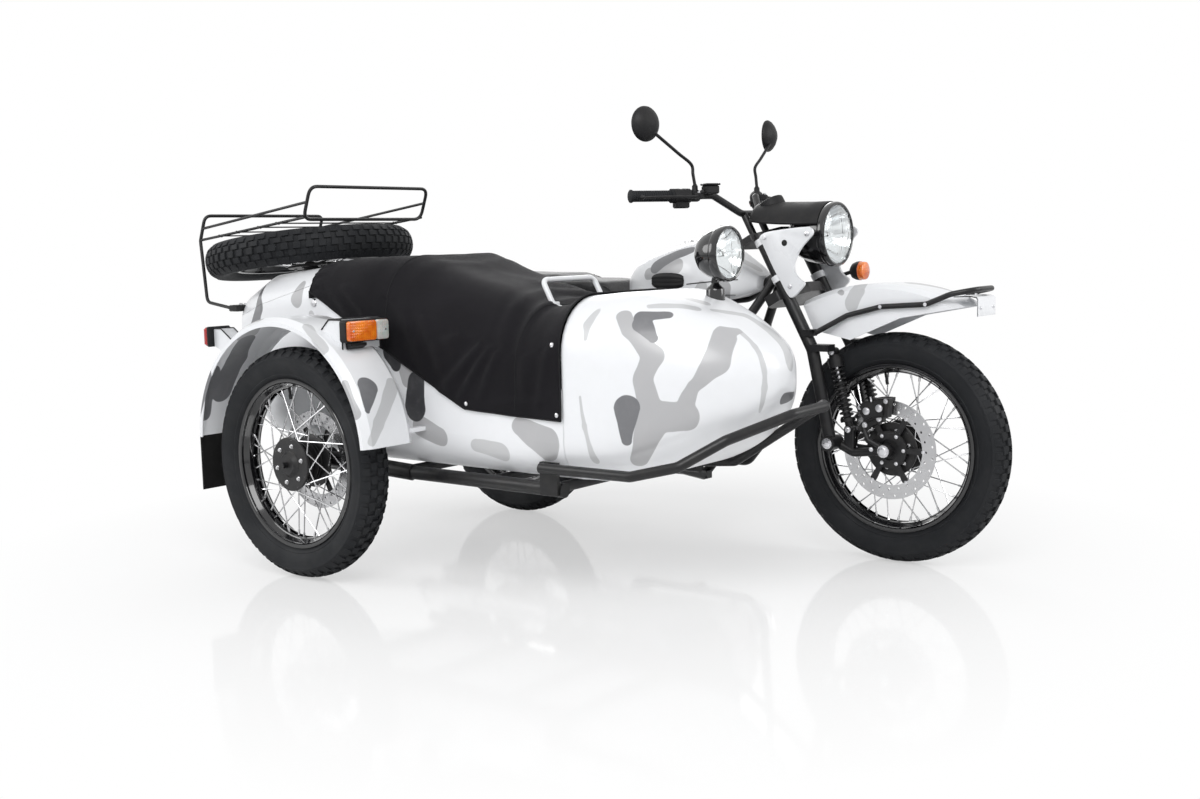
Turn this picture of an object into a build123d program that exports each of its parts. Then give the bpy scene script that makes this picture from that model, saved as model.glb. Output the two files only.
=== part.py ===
"""Sidecar motorcycle: a flat-twin motorcycle with a boat-shaped sidecar on its right.

Millimetres. The model is laid out from the floor under the rear axle, on the motorcycle's
middle plane: +X forward, +Y left, +Z up. Each finished piece is moved so that the origin
is on the floor under the middle of the whole outfit.
"""

from build123d import *
import os
from math import atan2, cos, degrees, hypot, pi, radians, sin, tan

# ---------------------------------------------------------------- driving dimensions
WHEELBASE = 1508.0        # rear axle to front axle
TRACK = 1120.0            # motorcycle's middle plane to the sidecar wheel's
CAR_LEAD = 125.0          # sidecar axle ahead of the rear axle
TYRE_R = 345.0            # to the tips of the tread
TYRE_HALF = 54.0          # half the tyre's width
TYRE_WALL = 11.0
RIM_R = 254.0             # to the rim's flange
RIM_HALF = 36.0
RIM_SHEET = 4.0
SEAT_R = 243.0            # bead seat of the rim
WELL_R = 228.0            # bottom of the rim's well
HUB_R = 38.0
HUB_FLANGE_R = 80.0
HUB_HALF = 58.0
SPOKE_R = 2.1
SPOKES_A_SIDE = 20
AXLE_R = 9.0
AXLE_FIT = 0.05           # running clearance of a wheel on its axle
DISC_R = 147.5
DISC_SHEET = 5.0
RUN = 6.0                 # clearance between moving pieces
TOUCH = 0.3               # clearance between pieces that lie on each other

RAKE = 28.0               # steering axis from the vertical
TRAIL = 70.0
LEG_OFFSET = 43.0         # fork tubes ahead of the steering axis
LEG_Y = 120.0             # fork tubes to the middle plane
LEG_R = 19.0
YOKE_TOP_Z = 975.0
YOKE_LOW_Z = 800.0
LEG_BEND_Z = 640.0
PIVOT_X = 1345.0          # leading link's pivot
PIVOT_Z = 362.0
LINK_R = 13.0
MUDGUARD_SHEET = 3.0

BAR_R = 11.0
BAR_HALF = 360.0          # half the handlebar's width
BAR_Z = 1110.0
GRIP_R = 17.0
GRIP_LENGTH = 125.0
MIRROR_R = 52.0

LAMP_R = 93.0             # headlamp's bezel
LAMP_X = 1308.0
LAMP_Z = 982.0

CAR_Y = -675.0            # sidecar body's middle plane
CAR_WALL = 5.0
COVER_CLOTH = 5.0
COVER_REAR = 30.0
NOSE_X = 1018.0           # where the nose cowl meets the tub
LID_TIP_X = 5.0           # front edge of the trunk lid
HEM_Z = 520.0             # lower edge of the cloth cover beside the doorway
DOOR_Z = 590.0            # rim of the tub beside the passenger

TUBE_R = 17.0             # main frame tube
CHASSIS_R = 20.0
CAR_FLOOR_Z = 335.0
CHASSIS_Z = CAR_FLOOR_Z - CHASSIS_R - 0.3
CRASH_R = 14.0

SPARE_X = -322.0
SPARE_Z = 960.0
SPARE_TILT = 7.0          # the spare wheel's rear lies lower
GUARD_R = TYRE_R + 40.0   # sidecar mudguard
GUARD_X = 130.0
GUARD_Z = 395.0
GUARD_HALF = 92.0

TO_ORIGIN = Location((-594.0, 412.0, 0.0))

FRONT_X = WHEELBASE
WHEEL_Y = -TRACK
STEER_GROUND_X = FRONT_X + TRAIL


def steer_x(z):
    """X of the steering axis at height z."""
    return STEER_GROUND_X - z * tan(radians(RAKE))


def leg_x(z):
    """X of the fork tubes' axis at height z, above their bend."""
    return steer_x(z) + LEG_OFFSET / cos(radians(RAKE))


def both(y):
    """The two mirrored places of a piece on either side of the middle plane."""
    return (-y, y)


# ---------------------------------------------------------------- shapes used by many pieces
def rod(start, end, radius, mode=Mode.ADD):
    """A round bar from point to point, in the part being built."""
    start, end = Vector(start), Vector(end)
    along = Plane(origin=start, z_dir=end - start)
    with BuildSketch(along) as section:
        Circle(radius)
    extrude(section.sketch, amount=(end - start).length, mode=mode)


def tube(points, radius, bend):
    """A round tube of straight runs joined by arcs, in the part being built."""
    with BuildLine() as path:
        FilletPolyline(*points, radius=bend)
    with BuildSketch(Plane(origin=path.line @ 0, z_dir=path.line % 0)) as section:
        Circle(radius)
    sweep(section.sketch, path=path.line)


def barrel(centre, radius, low, high, mode=Mode.ADD):
    """A cylinder along Y between y = low and y = high, in the part being built."""
    rod((centre[0], low, centre[1]), (centre[0], high, centre[1]), radius, mode)


def block(low, high):
    """A box between two corners, in the part being built."""
    size = [b - a for a, b in zip(low, high)]
    middle = Vector(low) * 0.5 + Vector(high) * 0.5
    with Locations(middle):
        Box(*size)


def spin(points, mode=Mode.ADD):
    """A ring turned about Y from (radius, y) points, in the part being built."""
    with BuildSketch(Plane.XY) as section:
        Polygon(*points, align=None)
    revolve(section.sketch, axis=Axis.Y, revolution_arc=360, mode=mode)


def tyre_section(grow):
    """Half of a tyre's outline as (radius, y), from bead to crown, offset outwards by grow."""
    return [
        (SEAT_R + TOUCH, 30.6 + grow),
        (RIM_R + 1.0, 31.4 + grow),
        (264.0, 40.0 + grow),
        (283.0, TYRE_HALF - 3.0 + grow),
        (303.0, TYRE_HALF + grow),
        (323.0, TYRE_HALF - 5.0 + grow),
        (336.0 + grow, 36.0 + 0.6 * grow),
        (TYRE_R + grow, 12.0),
    ]


def tyre_ring():
    """A hollow tyre turned about Y at the origin."""
    outer = tyre_section(0.0)
    inner = tyre_section(-TYRE_WALL)
    loop = outer + [(r, -y) for r, y in reversed(outer)]
    loop += inner + [(r, -y) for r, y in reversed(inner)]
    outer_loop = outer + [(r, -y) for r, y in reversed(outer)]
    inner_loop = inner + [(r, -y) for r, y in reversed(inner)]
    spin(outer_loop)
    spin(inner_loop, Mode.SUBTRACT)


def rim_ring():
    """A rolled rim turned about Y at the origin: flanges, bead seats and well."""
    top = [(RIM_R, RIM_HALF), (RIM_R, RIM_HALF - 4), (SEAT_R, 31), (SEAT_R - 2, 17), (WELL_R, 13)]
    under = [(RIM_R - 12, RIM_HALF), (SEAT_R - 6, 31), (SEAT_R - 6, 20), (WELL_R - RIM_SHEET, 15)]
    loop = top + [(r, -y) for r, y in reversed(top)]
    loop += [(r, -y) for r, y in under]
    loop += list(reversed(under))
    spin(loop)


def wire_wheel():
    """Rim, laced spokes and hub about Y at the origin, with a bore for the axle."""
    rim_ring()
    barrel((0, 0), HUB_R, -HUB_HALF, HUB_HALF)
    for side in (-1, 1):
        barrel((0, 0), HUB_FLANGE_R, *sorted((side * (HUB_HALF - 20), side * (HUB_HALF - 12))))
        for i in range(SPOKES_A_SIDE):
            turn = 360.0 / SPOKES_A_SIDE * (i + (0.5 if side > 0 else 0.0))
            lace = 62.0 if i % 2 else -62.0
            hub_turn = radians(turn + lace)
            rim_turn = radians(turn)
            hub_r = HUB_FLANGE_R - 8.0
            rod(
                (hub_r * cos(hub_turn), side * (HUB_HALF - 16), hub_r * sin(hub_turn)),
                ((WELL_R - 2) * cos(rim_turn), side * 6, (WELL_R - 2) * sin(rim_turn)),
                SPOKE_R,
            )
    barrel((0, 0), AXLE_R + AXLE_FIT, -HUB_HALF - 1, HUB_HALF + 1, Mode.SUBTRACT)


def disc_ring(y):
    """A brake disc about Y, its outer face at y, on a six-armed carrier."""
    barrel((0, 0), DISC_R, y, y + DISC_SHEET)
    barrel((0, 0), DISC_R - 42.0, y - 1, y + DISC_SHEET + 1, Mode.SUBTRACT)
    for i in range(6):
        turn = radians(60.0 * i)
        rod((50 * cos(turn), y + 2.5, 50 * sin(turn)), (112 * cos(turn), y + 2.5, 112 * sin(turn)), 2.4)
    barrel((0, 0), 52.0, y, y + DISC_SHEET)
    barrel((0, 0), 30.0, y - 1, y + DISC_SHEET + 1, Mode.SUBTRACT)


def sheet_arch(radius, half_width, skirt, sheet, start, end):
    """A channel-shaped mudguard about Y at the origin, from angle start to end, in degrees."""
    outer = [(radius - skirt, half_width), (radius - 14, half_width), (radius, half_width - 22)]
    inner = [(radius - skirt, half_width - sheet), (radius - 15, half_width - sheet)]
    inner += [(radius - sheet, half_width - 23)]
    loop = outer + [(r, -y) for r, y in reversed(outer)]
    loop += [(r, -y) for r, y in inner] + list(reversed(inner))
    with BuildSketch(Plane.XY.rotated((0, -start, 0))) as section:
        Polygon(*loop, align=None)
    revolve(section.sketch, axis=Axis((0, 0, 0), (0, -1, 0)), revolution_arc=end - start)


def spring_leg(low, high, radius, turns):
    """A spring and damper from its lower eye to its upper eye, in the part being built."""
    low, high = Vector(low), Vector(high)
    step = (high - low) / (turns + 4)
    rod(low, high, radius * 0.45)
    for i in range(turns):
        at = low + step * (i + 2)
        rod(at, at + step * 0.55, radius)
    rod(low + step * 1.2, low + step * 1.5, radius * 1.05)
    rod(high - step * 1.6, high - step * 0.9, radius * 1.05)


PARTS = {}


def finish(piece, name):
    """Labels a finished piece, moves it to the outfit's frame and keeps it for writing."""
    piece.part.label = name
    PARTS[name] = piece.part


# ---------------------------------------------------------------- wheels
WHEEL_PLACES = {
    # name: (x, y, z) of the wheel's centre
    "front": (FRONT_X, 0.0, TYRE_R),
    "rear": (0.0, 0.0, TYRE_R),
    "car": (CAR_LEAD, WHEEL_Y, TYRE_R),
}
with BuildPart() as tyre:
    tyre_ring()
with BuildPart() as wheel:
    wire_wheel()
for name, place in WHEEL_PLACES.items():
    with BuildPart() as placed_tyre:
        with Locations(place):
            add(tyre.part)
    finish(placed_tyre, name + "_tyre")
    with BuildPart() as placed_wheel:
        with Locations(place):
            add(wheel.part)
    finish(placed_wheel, name + "_wheel")

spare_place = Location((SPARE_X, CAR_Y, SPARE_Z), (90, 0, 0)) * Location((0, 0, 0), (0, 0, SPARE_TILT))
with BuildPart() as spare_tyre:
    add(tyre.part.moved(spare_place))
finish(spare_tyre, "spare_tyre")
with BuildPart() as spare_wheel:
    add(wheel.part.moved(spare_place))
finish(spare_wheel, "spare_wheel")

DISC_Y = HUB_HALF + 1.0
with BuildPart() as disc_right:
    disc_ring(-DISC_Y - DISC_SHEET)
    barrel((0, 0), 52.0, -DISC_Y - 0.01, -DISC_Y + 1.0)
    barrel((0, 0), 30.0, -DISC_Y - 3, -DISC_Y + 3, Mode.SUBTRACT)
with BuildPart() as front_disc:
    with Locations(WHEEL_PLACES["front"]):
        add(disc_right.part)
finish(front_disc, "front_disc")
with BuildPart() as car_disc:
    with Locations(WHEEL_PLACES["car"]):
        add(disc_right.part.rotate(Axis.Z, 180))
finish(car_disc, "car_disc")

# ---------------------------------------------------------------- motorcycle frame
HEAD_TOP = (steer_x(953.0), 0.0, 953.0)
HEAD_LOW = (steer_x(803.0), 0.0, 803.0)
CRADLE_Y = 125.0
CRADLE_Z = 235.0
CRADLE_R = 14.5
STEM_R = 12.0
SPINE = [(steer_x(870), 0, 870), (990, 0, 790), (560, 0, 752)]
BACK_X = 375.0            # swinging arm's pivot
BACK_Z = 415.0
RAIL_Z = 752.0
ARCH_R = TYRE_R + 39.0    # rear mudguard
SHOCK_TOP = (45.0, 742.0)
with BuildPart() as frame:
    rod(HEAD_TOP, HEAD_LOW, 30.0)
    tube(SPINE, TUBE_R, 60.0)
    for y in both(CRADLE_Y):
        tube(
            [(steer_x(870) - 4, 0.1 * y, 870), (1010, 0.6 * y, 700), (955, y, 300), (900, y, CRADLE_Z),
             (430, y, CRADLE_Z), (385, y, 300), (BACK_X, y, 520), (340, y, RAIL_Z)],
            CRADLE_R, 40.0,
        )
        tube([(560, 0, RAIL_Z), (500, 0.7 * y, RAIL_Z), (300, y, RAIL_Z), (-190, y, RAIL_Z)], CRADLE_R, 60.0)
    barrel((BACK_X, BACK_Z), 14.0, -CRADLE_Y, CRADLE_Y)
    barrel(SHOCK_TOP, 12.0, -150, 150)
    block((60, -CRADLE_Y, 700), (90, CRADLE_Y, 760))
    block((-190, -CRADLE_Y, 670), (-165, CRADLE_Y, 760))
    barrel((0, TYRE_R), ARCH_R + TOUCH, -CRADLE_Y + CRADLE_R, CRADLE_Y - CRADLE_R, Mode.SUBTRACT)
    rod((steer_x(760), 0, 760), (steer_x(1100), 0, 1100), STEM_R + AXLE_FIT, Mode.SUBTRACT)
finish(frame, "frame")

# ---------------------------------------------------------------- engine
CYL_X = 745.0
CYL_Z = 430.0
CYL_HALF = 350.0
with BuildPart() as engine:
    block((560, -100, 262), (910, 100, 560))
    block((405, -75, 300), (560, 75, 520))
    block((830, -CRADLE_Y, CRADLE_Z + CRADLE_R + TOUCH), (865, CRADLE_Y, 275))
    block((450, -CRADLE_Y, CRADLE_Z + CRADLE_R + TOUCH), (490, CRADLE_Y, 310))
    rod((900, 0, 450), (940, 0, 450), 95.0)
    block((600, -90, 560), (760, 90, 640))
finish(engine, "engine")
with BuildPart() as cylinders:
    for side in (-1, 1):
        barrel((CYL_X, CYL_Z), 62.0, *sorted((side * (100 + TOUCH), side * 300.0)))
        for i in range(12):
            y = side * (125.0 + 14.0 * i)
            barrel((CYL_X, CYL_Z), 88.0, *sorted((y, y + side * 5.0)))
        low, high = sorted((side * 296.0, side * CYL_HALF))
        block((CYL_X - 62, low, CYL_Z - 78), (CYL_X + 62, high, CYL_Z + 78))
finish(cylinders, "cylinders")

# ---------------------------------------------------------------- exhaust
PIPE_R = 19.0
with BuildPart() as exhaust:
    for side in (-1, 1):
        tube(
            [(CYL_X + 62 + TOUCH, side * 322.0, CYL_Z - 20), (CYL_X + 125, side * 322.0, CYL_Z - 20),
             (CYL_X + 120, side * 300.0, 308), (CYL_X, side * 215.0, 308), (290, side * 200.0, 308)],
            PIPE_R, 36.0,
        )
        rod((300, side * 200.0, 308), (-330, side * 200.0, 302), 40.0)
finish(exhaust, "exhaust")

# ---------------------------------------------------------------- rear drive
with BuildPart() as rear_drive:
    barrel((0, TYRE_R), AXLE_R, -150, 150)
    barrel((0, TYRE_R), 82.0, -HUB_HALF - RUN - 58, -HUB_HALF - RUN)
    rod((20, -84, TYRE_R), (BACK_X, -84, BACK_Z), 24.0)
    rod((0, 90, TYRE_R), (BACK_X, 90, BACK_Z), 16.0)
    barrel((0, TYRE_R), 28.0, 76, 104)
    block((-25, 76, 335), (5, 104, 412))
    barrel((-10, 400), 12.0, -190, -70)
    barrel((-10, 400), 12.0, 78, 190)
    for y in both(172.0):
        spring_leg((-10, y, 400), (SHOCK_TOP[0], y, SHOCK_TOP[1]), 28.0, 9)
        barrel(SHOCK_TOP, 15.0, *sorted((y / 172.0 * (150 + TOUCH), y / 172.0 * 190)))
    barrel((BACK_X, BACK_Z), 14.0 + TOUCH, -CRADLE_Y, CRADLE_Y, Mode.SUBTRACT)
finish(rear_drive, "rear_drive")

# ---------------------------------------------------------------- tank, seat and rear bodywork
TANK_SECTIONS = [
    # x, low z, high z, half width, corner radius
    (560.0, 790.0, 868.0, 62.0, 30.0),
    (690.0, 776.0, 938.0, 128.0, 60.0),
    (860.0, 776.0, 972.0, 150.0, 75.0),
    (990.0, 788.0, 898.0, 112.0, 50.0),
    (1055.0, 812.0, 855.0, 56.0, 20.0),
]


def stations(sections, middle_y, grow=0.0):
    """A loft through upright rounded rectangles, in the part being built."""
    faces = []
    for x, low, high, half, corner in sections:
        with BuildSketch(Plane(origin=(x, middle_y, (low + high) / 2), x_dir=(0, 1, 0), z_dir=(1, 0, 0))) as section:
            RectangleRounded(2 * (half + grow), high - low + 2 * grow, corner + grow)
        faces.append(section.sketch)
    return faces


with BuildPart() as tank:
    loft(stations(TANK_SECTIONS, 0.0))
    rod(SPINE[1], SPINE[2], TUBE_R + TOUCH, Mode.SUBTRACT)
    rod(SPINE[1], SPINE[0], TUBE_R + TOUCH, Mode.SUBTRACT)
    with Locations(SPINE[1]):
        Sphere(TUBE_R + 3, mode=Mode.SUBTRACT)
finish(tank, "tank")

SEAT_Z = RAIL_Z + CRADLE_R + TOUCH
with BuildPart() as seat:
    with BuildSketch(Plane.XZ) as seat_side:
        with BuildLine():
            Polyline((545, SEAT_Z), (545, 800), (500, 838), (330, 846), (270, 866), (-190, 872), (-225, 850),
                     (-225, 790), (-200, SEAT_Z), close=True)
        make_face()
    extrude(amount=140, both=True)
    fillet(seat.edges().group_by(Axis.Y)[0] + seat.edges().group_by(Axis.Y)[-1], 14)
finish(seat, "seat")

with BuildPart() as rear_arch:
    sheet_arch(ARCH_R, 78.0, 40.0, MUDGUARD_SHEET, 78.0, 195.0)
with BuildPart() as rear_mudguard:
    with Locations((0, 0, TYRE_R)):
        add(rear_arch.part)
finish(rear_mudguard, "rear_mudguard")
with BuildPart() as tail_lamp:
    block((-400, -45, 550), (-300, 45, 610))
    barrel((0, TYRE_R), ARCH_R + TOUCH, -60, 60, Mode.SUBTRACT)
finish(tail_lamp, "tail_lamp")
with BuildPart() as side_boxes:
    for side in (-1, 1):
        low, high = sorted((side * (CRADLE_Y + CRADLE_R + TOUCH), side * 205.0))
        block((186, low, 570), (322, high, 760))
finish(side_boxes, "side_boxes")

# ---------------------------------------------------------------- steering: fork, link, mudguard
LINK_Y = 86.0
SHOCK_FOOT = (1392.0, 402.0)
SHOCK_HEAD = (1338.0, 632.0)


def yoke_plane(z):
    """The plane across both fork tubes where the yoke at height z clamps them."""
    tilt = radians(RAKE)
    return Plane(origin=(leg_x(z) - 20, 0, z), x_dir=(0, 1, 0), z_dir=(-sin(tilt), 0, cos(tilt)))


# across, and forward along the yoke: wide at the fork tubes and narrow at the stem
YOKE_OUTLINE = [(-38, -54), (38, -54), (152, -6), (152, 42), (110, 54), (-110, 54), (-152, 42), (-152, -6)]
with BuildPart() as fork:
    for y in both(LEG_Y):
        tube([(leg_x(YOKE_TOP_Z + 12), y, YOKE_TOP_Z + 12), (leg_x(LEG_BEND_Z), y, LEG_BEND_Z),
              (PIVOT_X, y, PIVOT_Z)], LEG_R, 60.0)
        low, high = sorted((y / LEG_Y * (LINK_Y + LINK_R + TOUCH), y / LEG_Y * 142.0))
        barrel((PIVOT_X, PIVOT_Z), 24.0, low, high)
        block((leg_x(640), low, 636), (1350, high, 656))
        block((leg_x(690), low, 680), (1290, high, 700))
    for z, half_sheet in ((YOKE_TOP_Z, 10.0), (YOKE_LOW_Z, 16.0)):
        with BuildSketch(yoke_plane(z)) as yoke:
            Polygon(*YOKE_OUTLINE, align=None)
            fillet(yoke.vertices(), 8)
        extrude(amount=half_sheet, both=True)
    rod((steer_x(YOKE_LOW_Z), 0, YOKE_LOW_Z), (steer_x(YOKE_TOP_Z), 0, YOKE_TOP_Z), STEM_R)
finish(fork, "fork")

with BuildPart() as front_link:
    for side in (-1, 1):
        y = side * LINK_Y
        tube([(PIVOT_X - 6, y, PIVOT_Z), (PIVOT_X + 60, y, PIVOT_Z - 30), (FRONT_X, y, TYRE_R)], LINK_R, 30.0)
        barrel((PIVOT_X, PIVOT_Z), 20.0, y - LINK_R, y + LINK_R)
        block((PIVOT_X + 30, y - 9, PIVOT_Z - 26), (PIVOT_X + 62, y + 9, 404))
        spring_leg((SHOCK_FOOT[0], y, SHOCK_FOOT[1]), (SHOCK_HEAD[0], y, SHOCK_HEAD[1]), 20.0, 9)
    barrel((FRONT_X, TYRE_R), AXLE_R, -100, 100)
finish(front_link, "front_link")

FENDER_R = 573.0
FENDER_X = 1475.0
FENDER_Z = 262.0
FENDER_HALF = 90.0
FENDER_HEM = [(1180, 660), (1300, 690), (1395, 669), (1555, 736), (1760, 771), (1850, 771), (1850, 400), (1180, 400)]
with BuildPart() as arch:
    sheet_arch(FENDER_R, FENDER_HALF, 170.0, MUDGUARD_SHEET, 59.0, 115.0)
with BuildPart() as front_mudguard:
    with Locations((FENDER_X, 0, FENDER_Z)):
        add(arch.part)
    with BuildSketch(Plane.XZ) as hem:
        Polygon(*FENDER_HEM, align=None)
    extrude(amount=120, both=True, mode=Mode.SUBTRACT)
finish(front_mudguard, "front_mudguard")
LOOP_Y = FENDER_HALF + 8.0 + TOUCH
PLATE_HOLE_Y = 45.0       # number plate's two screws
PLATE_HOLE_Z = 765.0
PLATE_HOLE_R = 3.25
LOOP_SIDE = [(1390, 742), (1500, 769), (1640, 777), (1710, 806)]
with BuildPart() as mudguard_tube:
    right = [(1294.6, -LOOP_Y - 18, 690)] + [(x, -LOOP_Y, z) for x, z in LOOP_SIDE] + [(1778, -70, 818)]
    tube(right + [(x, -y, z) for x, y, z in reversed(right)], 8.0, 24.0)
    block((1776, -60, 745), (1779, 60, 820))
    for y in both(PLATE_HOLE_Y):
        rod((1770, y, PLATE_HOLE_Z), (1785, y, PLATE_HOLE_Z), PLATE_HOLE_R, Mode.SUBTRACT)
finish(mudguard_tube, "mudguard_tube")

# ---------------------------------------------------------------- headlamp, ears, instruments
with BuildPart() as headlight:
    rod((LAMP_X - 20, 0, LAMP_Z), (LAMP_X, 0, LAMP_Z), LAMP_R)
    rod((LAMP_X - 110, 0, LAMP_Z), (LAMP_X - 20, 0, LAMP_Z), LAMP_R - 8)
    barrel((LAMP_X - 70, LAMP_Z), 9.0, -(LEG_Y - LEG_R - 2 * TOUCH - 5), LEG_Y - LEG_R - 2 * TOUCH - 5)
finish(headlight, "headlight")
with BuildPart() as headlight_lens:
    rod((LAMP_X, 0, LAMP_Z), (LAMP_X + 8, 0, LAMP_Z), LAMP_R - 9)
finish(headlight_lens, "headlight_lens")
EAR_SIDE = [(1120, 965), (1146, 978), (1146, 1003), (1270, 1003), (1276, 960), (1245, 900), (1245, 850), (1222, 847),
            (1160, 870)]
EAR_SHEET = 5.0
EAR_Y = LEG_Y - LEG_R - TOUCH - EAR_SHEET
with BuildPart() as instruments:
    block((1050, -60, 1018), (1235, 60, 1078))
    rod((LAMP_X - 150, 0, LAMP_Z), (LAMP_X, 0, LAMP_Z), LAMP_R + TOUCH, Mode.SUBTRACT)
    with BuildSketch(yoke_plane(YOKE_TOP_Z).offset(10 + TOUCH)) as posts:
        with Locations((-35, -20), (35, -20)):
            Circle(8)
    extrude(amount=30)
finish(instruments, "instruments")
with BuildPart() as fork_ears:
    for y in both(EAR_Y + EAR_SHEET / 2):
        with BuildSketch(Plane(origin=(0, y, 0), x_dir=(1, 0, 0), z_dir=(0, -1, 0))) as ear:
            Polygon(*EAR_SIDE, align=None)
        extrude(amount=EAR_SHEET / 2, both=True)
finish(fork_ears, "fork_ears")

# ---------------------------------------------------------------- handlebar
RISER_Y = 42.0
with BuildPart() as handlebar:
    tube([(809, -BAR_HALF, BAR_Z), (940, -125, BAR_Z), (1000, -55, 1052), (1000, 55, 1052), (940, 125, BAR_Z), (809, BAR_HALF, BAR_Z)], BAR_R, 26.0)
    with BuildSketch(yoke_plane(YOKE_TOP_Z).offset(10 + TOUCH)) as risers:
        with Locations((-RISER_Y, 41.6), (RISER_Y, 41.6)):
            Circle(11)
    extrude(amount=99)
finish(handlebar, "handlebar")
with BuildPart() as bar_controls:
    for side in (-1, 1):
        rod((800, side * 376, BAR_Z), (868, side * 251, BAR_Z), GRIP_R)
        rod((868, side * 251, BAR_Z), (900, side * 194, BAR_Z), 22.0)
    rod((809, -BAR_HALF, BAR_Z), (940, -125, BAR_Z), BAR_R, Mode.SUBTRACT)
    rod((809, BAR_HALF, BAR_Z), (940, 125, BAR_Z), BAR_R, Mode.SUBTRACT)
finish(bar_controls, "bar_controls")
with BuildPart() as mirrors:
    for side in (-1, 1):
        tube([(890, side * 205, BAR_Z + 22.3), (888, side * 207, 1205), (862, side * 335, 1310)], 5.0, 20.0)
        rod((866, side * 335, 1325), (854, side * 335, 1322), MIRROR_R)
finish(mirrors, "mirrors")
with BuildPart() as front_indicator:
    rod((leg_x(870) + 12, LEG_Y + 17, 870), (1262, 172, 872), 7.0)
    rod((1255, 172, 873), (1320, 172, 873), 27.0)
    rod((leg_x(800), LEG_Y, 800), (leg_x(940), LEG_Y, 940), LEG_R + TOUCH, Mode.SUBTRACT)
finish(front_indicator, "front_indicator")

# ---------------------------------------------------------------- sidecar body
TAIL_SECTIONS = [
    # x, low z, high z, half width, corner radius
    (-505.0, 570.0, 744.0, 150.0, 70.0),
    (-400.0, 450.0, 838.0, 238.0, 100.0),
    (-240.0, 375.0, 896.0, 285.0, 110.0),
    (60.0, CAR_FLOOR_Z, 925.0, 300.0, 110.0),
]
MIDDLE_SECTIONS = [
    (60.0, CAR_FLOOR_Z, 925.0, 300.0, 110.0),
    (600.0, CAR_FLOOR_Z, 937.0, 300.0, 110.0),
    (790.0, CAR_FLOOR_Z, 862.0, 300.0, 110.0),
    (860.0, CAR_FLOOR_Z, 805.0, 300.0, 110.0),
    (NOSE_X, CAR_FLOOR_Z, 825.0, 300.0, 110.0),
]
NOSE_SECTIONS = [
    (NOSE_X, CAR_FLOOR_Z, 825.0, 300.0, 110.0),
    (1180.0, 345.0, 835.0, 285.0, 120.0),
    (1350.0, 410.0, 778.0, 225.0, 120.0),
    (1460.0, 490.0, 715.0, 145.0, 80.0),
    (1510.0, 565.0, 660.0, 62.0, 40.0),
]


def hull(sections, grow=0.0, mode=Mode.ADD):
    loft(stations(sections, CAR_Y, grow), ruled=True, mode=mode)


with BuildPart() as nose:
    hull(NOSE_SECTIONS)
    hull(NOSE_SECTIONS[:4], -CAR_WALL, Mode.SUBTRACT)
finish(nose, "nose")

LID_CUT = [(-540, 720), (-400, 762), (LID_TIP_X, 860), (LID_TIP_X, 1000), (-540, 1000)]
DOOR_CUT = [(60, 2000), (60, 900), (400, DOOR_Z), (NOSE_X + 50, DOOR_Z), (NOSE_X + 50, 2000)]


def side_cut(points, mode):
    """What lies inside an (x, z) outline, right across the sidecar."""
    with BuildSketch(Plane(origin=(0, CAR_Y, 0), x_dir=(1, 0, 0), z_dir=(0, -1, 0))) as outline:
        Polygon(*points, align=None)
    extrude(outline.sketch, amount=400, both=True, mode=mode)


HINGE_X = 4.0             # trunk lid's hinge
HINGE_Z = 932.0
KNUCKLE_R = 7.0
KNUCKLE_Y = 120.0
PIN_R = 4.0
with BuildPart() as tub:
    hull(TAIL_SECTIONS)
    hull(MIDDLE_SECTIONS)
    hull(TAIL_SECTIONS, -CAR_WALL, Mode.SUBTRACT)
    hull(MIDDLE_SECTIONS, -CAR_WALL, Mode.SUBTRACT)
    side_cut(LID_CUT, Mode.SUBTRACT)
    side_cut(DOOR_CUT, Mode.SUBTRACT)
    for y in (CAR_Y - KNUCKLE_Y, CAR_Y + KNUCKLE_Y):
        block((HINGE_X, y - 20, 918), (HINGE_X + 21, y + 20, 928))
        barrel((HINGE_X, HINGE_Z), KNUCKLE_R, y - 20, y + 20)
    barrel((HINGE_X, HINGE_Z), PIN_R, CAR_Y - KNUCKLE_Y, CAR_Y + KNUCKLE_Y)
finish(tub, "tub")
SPARE_POST = 22.0
spare_up = Vector(-sin(radians(SPARE_TILT)), 0, cos(radians(SPARE_TILT)))
spare_hub = Vector(SPARE_X, CAR_Y, SPARE_Z)
lid_cut = [(x - (1 if x == LID_TIP_X else 0), z + (1 if z < 900 else 0)) for x, z in LID_CUT]
with BuildPart() as trunk_lid:
    hull(TAIL_SECTIONS)
    hull(TAIL_SECTIONS, -CAR_WALL, Mode.SUBTRACT)
    side_cut(lid_cut, Mode.INTERSECT)
    block((HINGE_X - 24, CAR_Y - 60, 916), (HINGE_X - 2, CAR_Y + 60, 931))
    barrel((HINGE_X, HINGE_Z), KNUCKLE_R, CAR_Y - 60, CAR_Y + 60)
    barrel((HINGE_X, HINGE_Z), PIN_R + AXLE_FIT, CAR_Y - 61, CAR_Y + 61, Mode.SUBTRACT)
    rod(spare_hub - spare_up * 105, spare_hub - spare_up * (HUB_HALF + TOUCH), SPARE_POST)
    rod(spare_hub - spare_up * 100, spare_hub + spare_up * 65, AXLE_R - 0.1)
    rod(spare_hub + spare_up * (HUB_HALF + TOUCH), spare_hub + spare_up * 66, 16.0)
finish(trunk_lid, "trunk_lid")
HEM_CUT = [(COVER_REAR, 2000), (COVER_REAR, 850), (640, HEM_Z), (NOSE_X - 4, HEM_Z - 15), (NOSE_X - 4, 2000)]
with BuildPart() as cover:
    hull(MIDDLE_SECTIONS, COVER_CLOTH + 0.5)
    hull(MIDDLE_SECTIONS, 0.5, Mode.SUBTRACT)
    side_cut(HEM_CUT, Mode.INTERSECT)
finish(cover, "cover")
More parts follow.
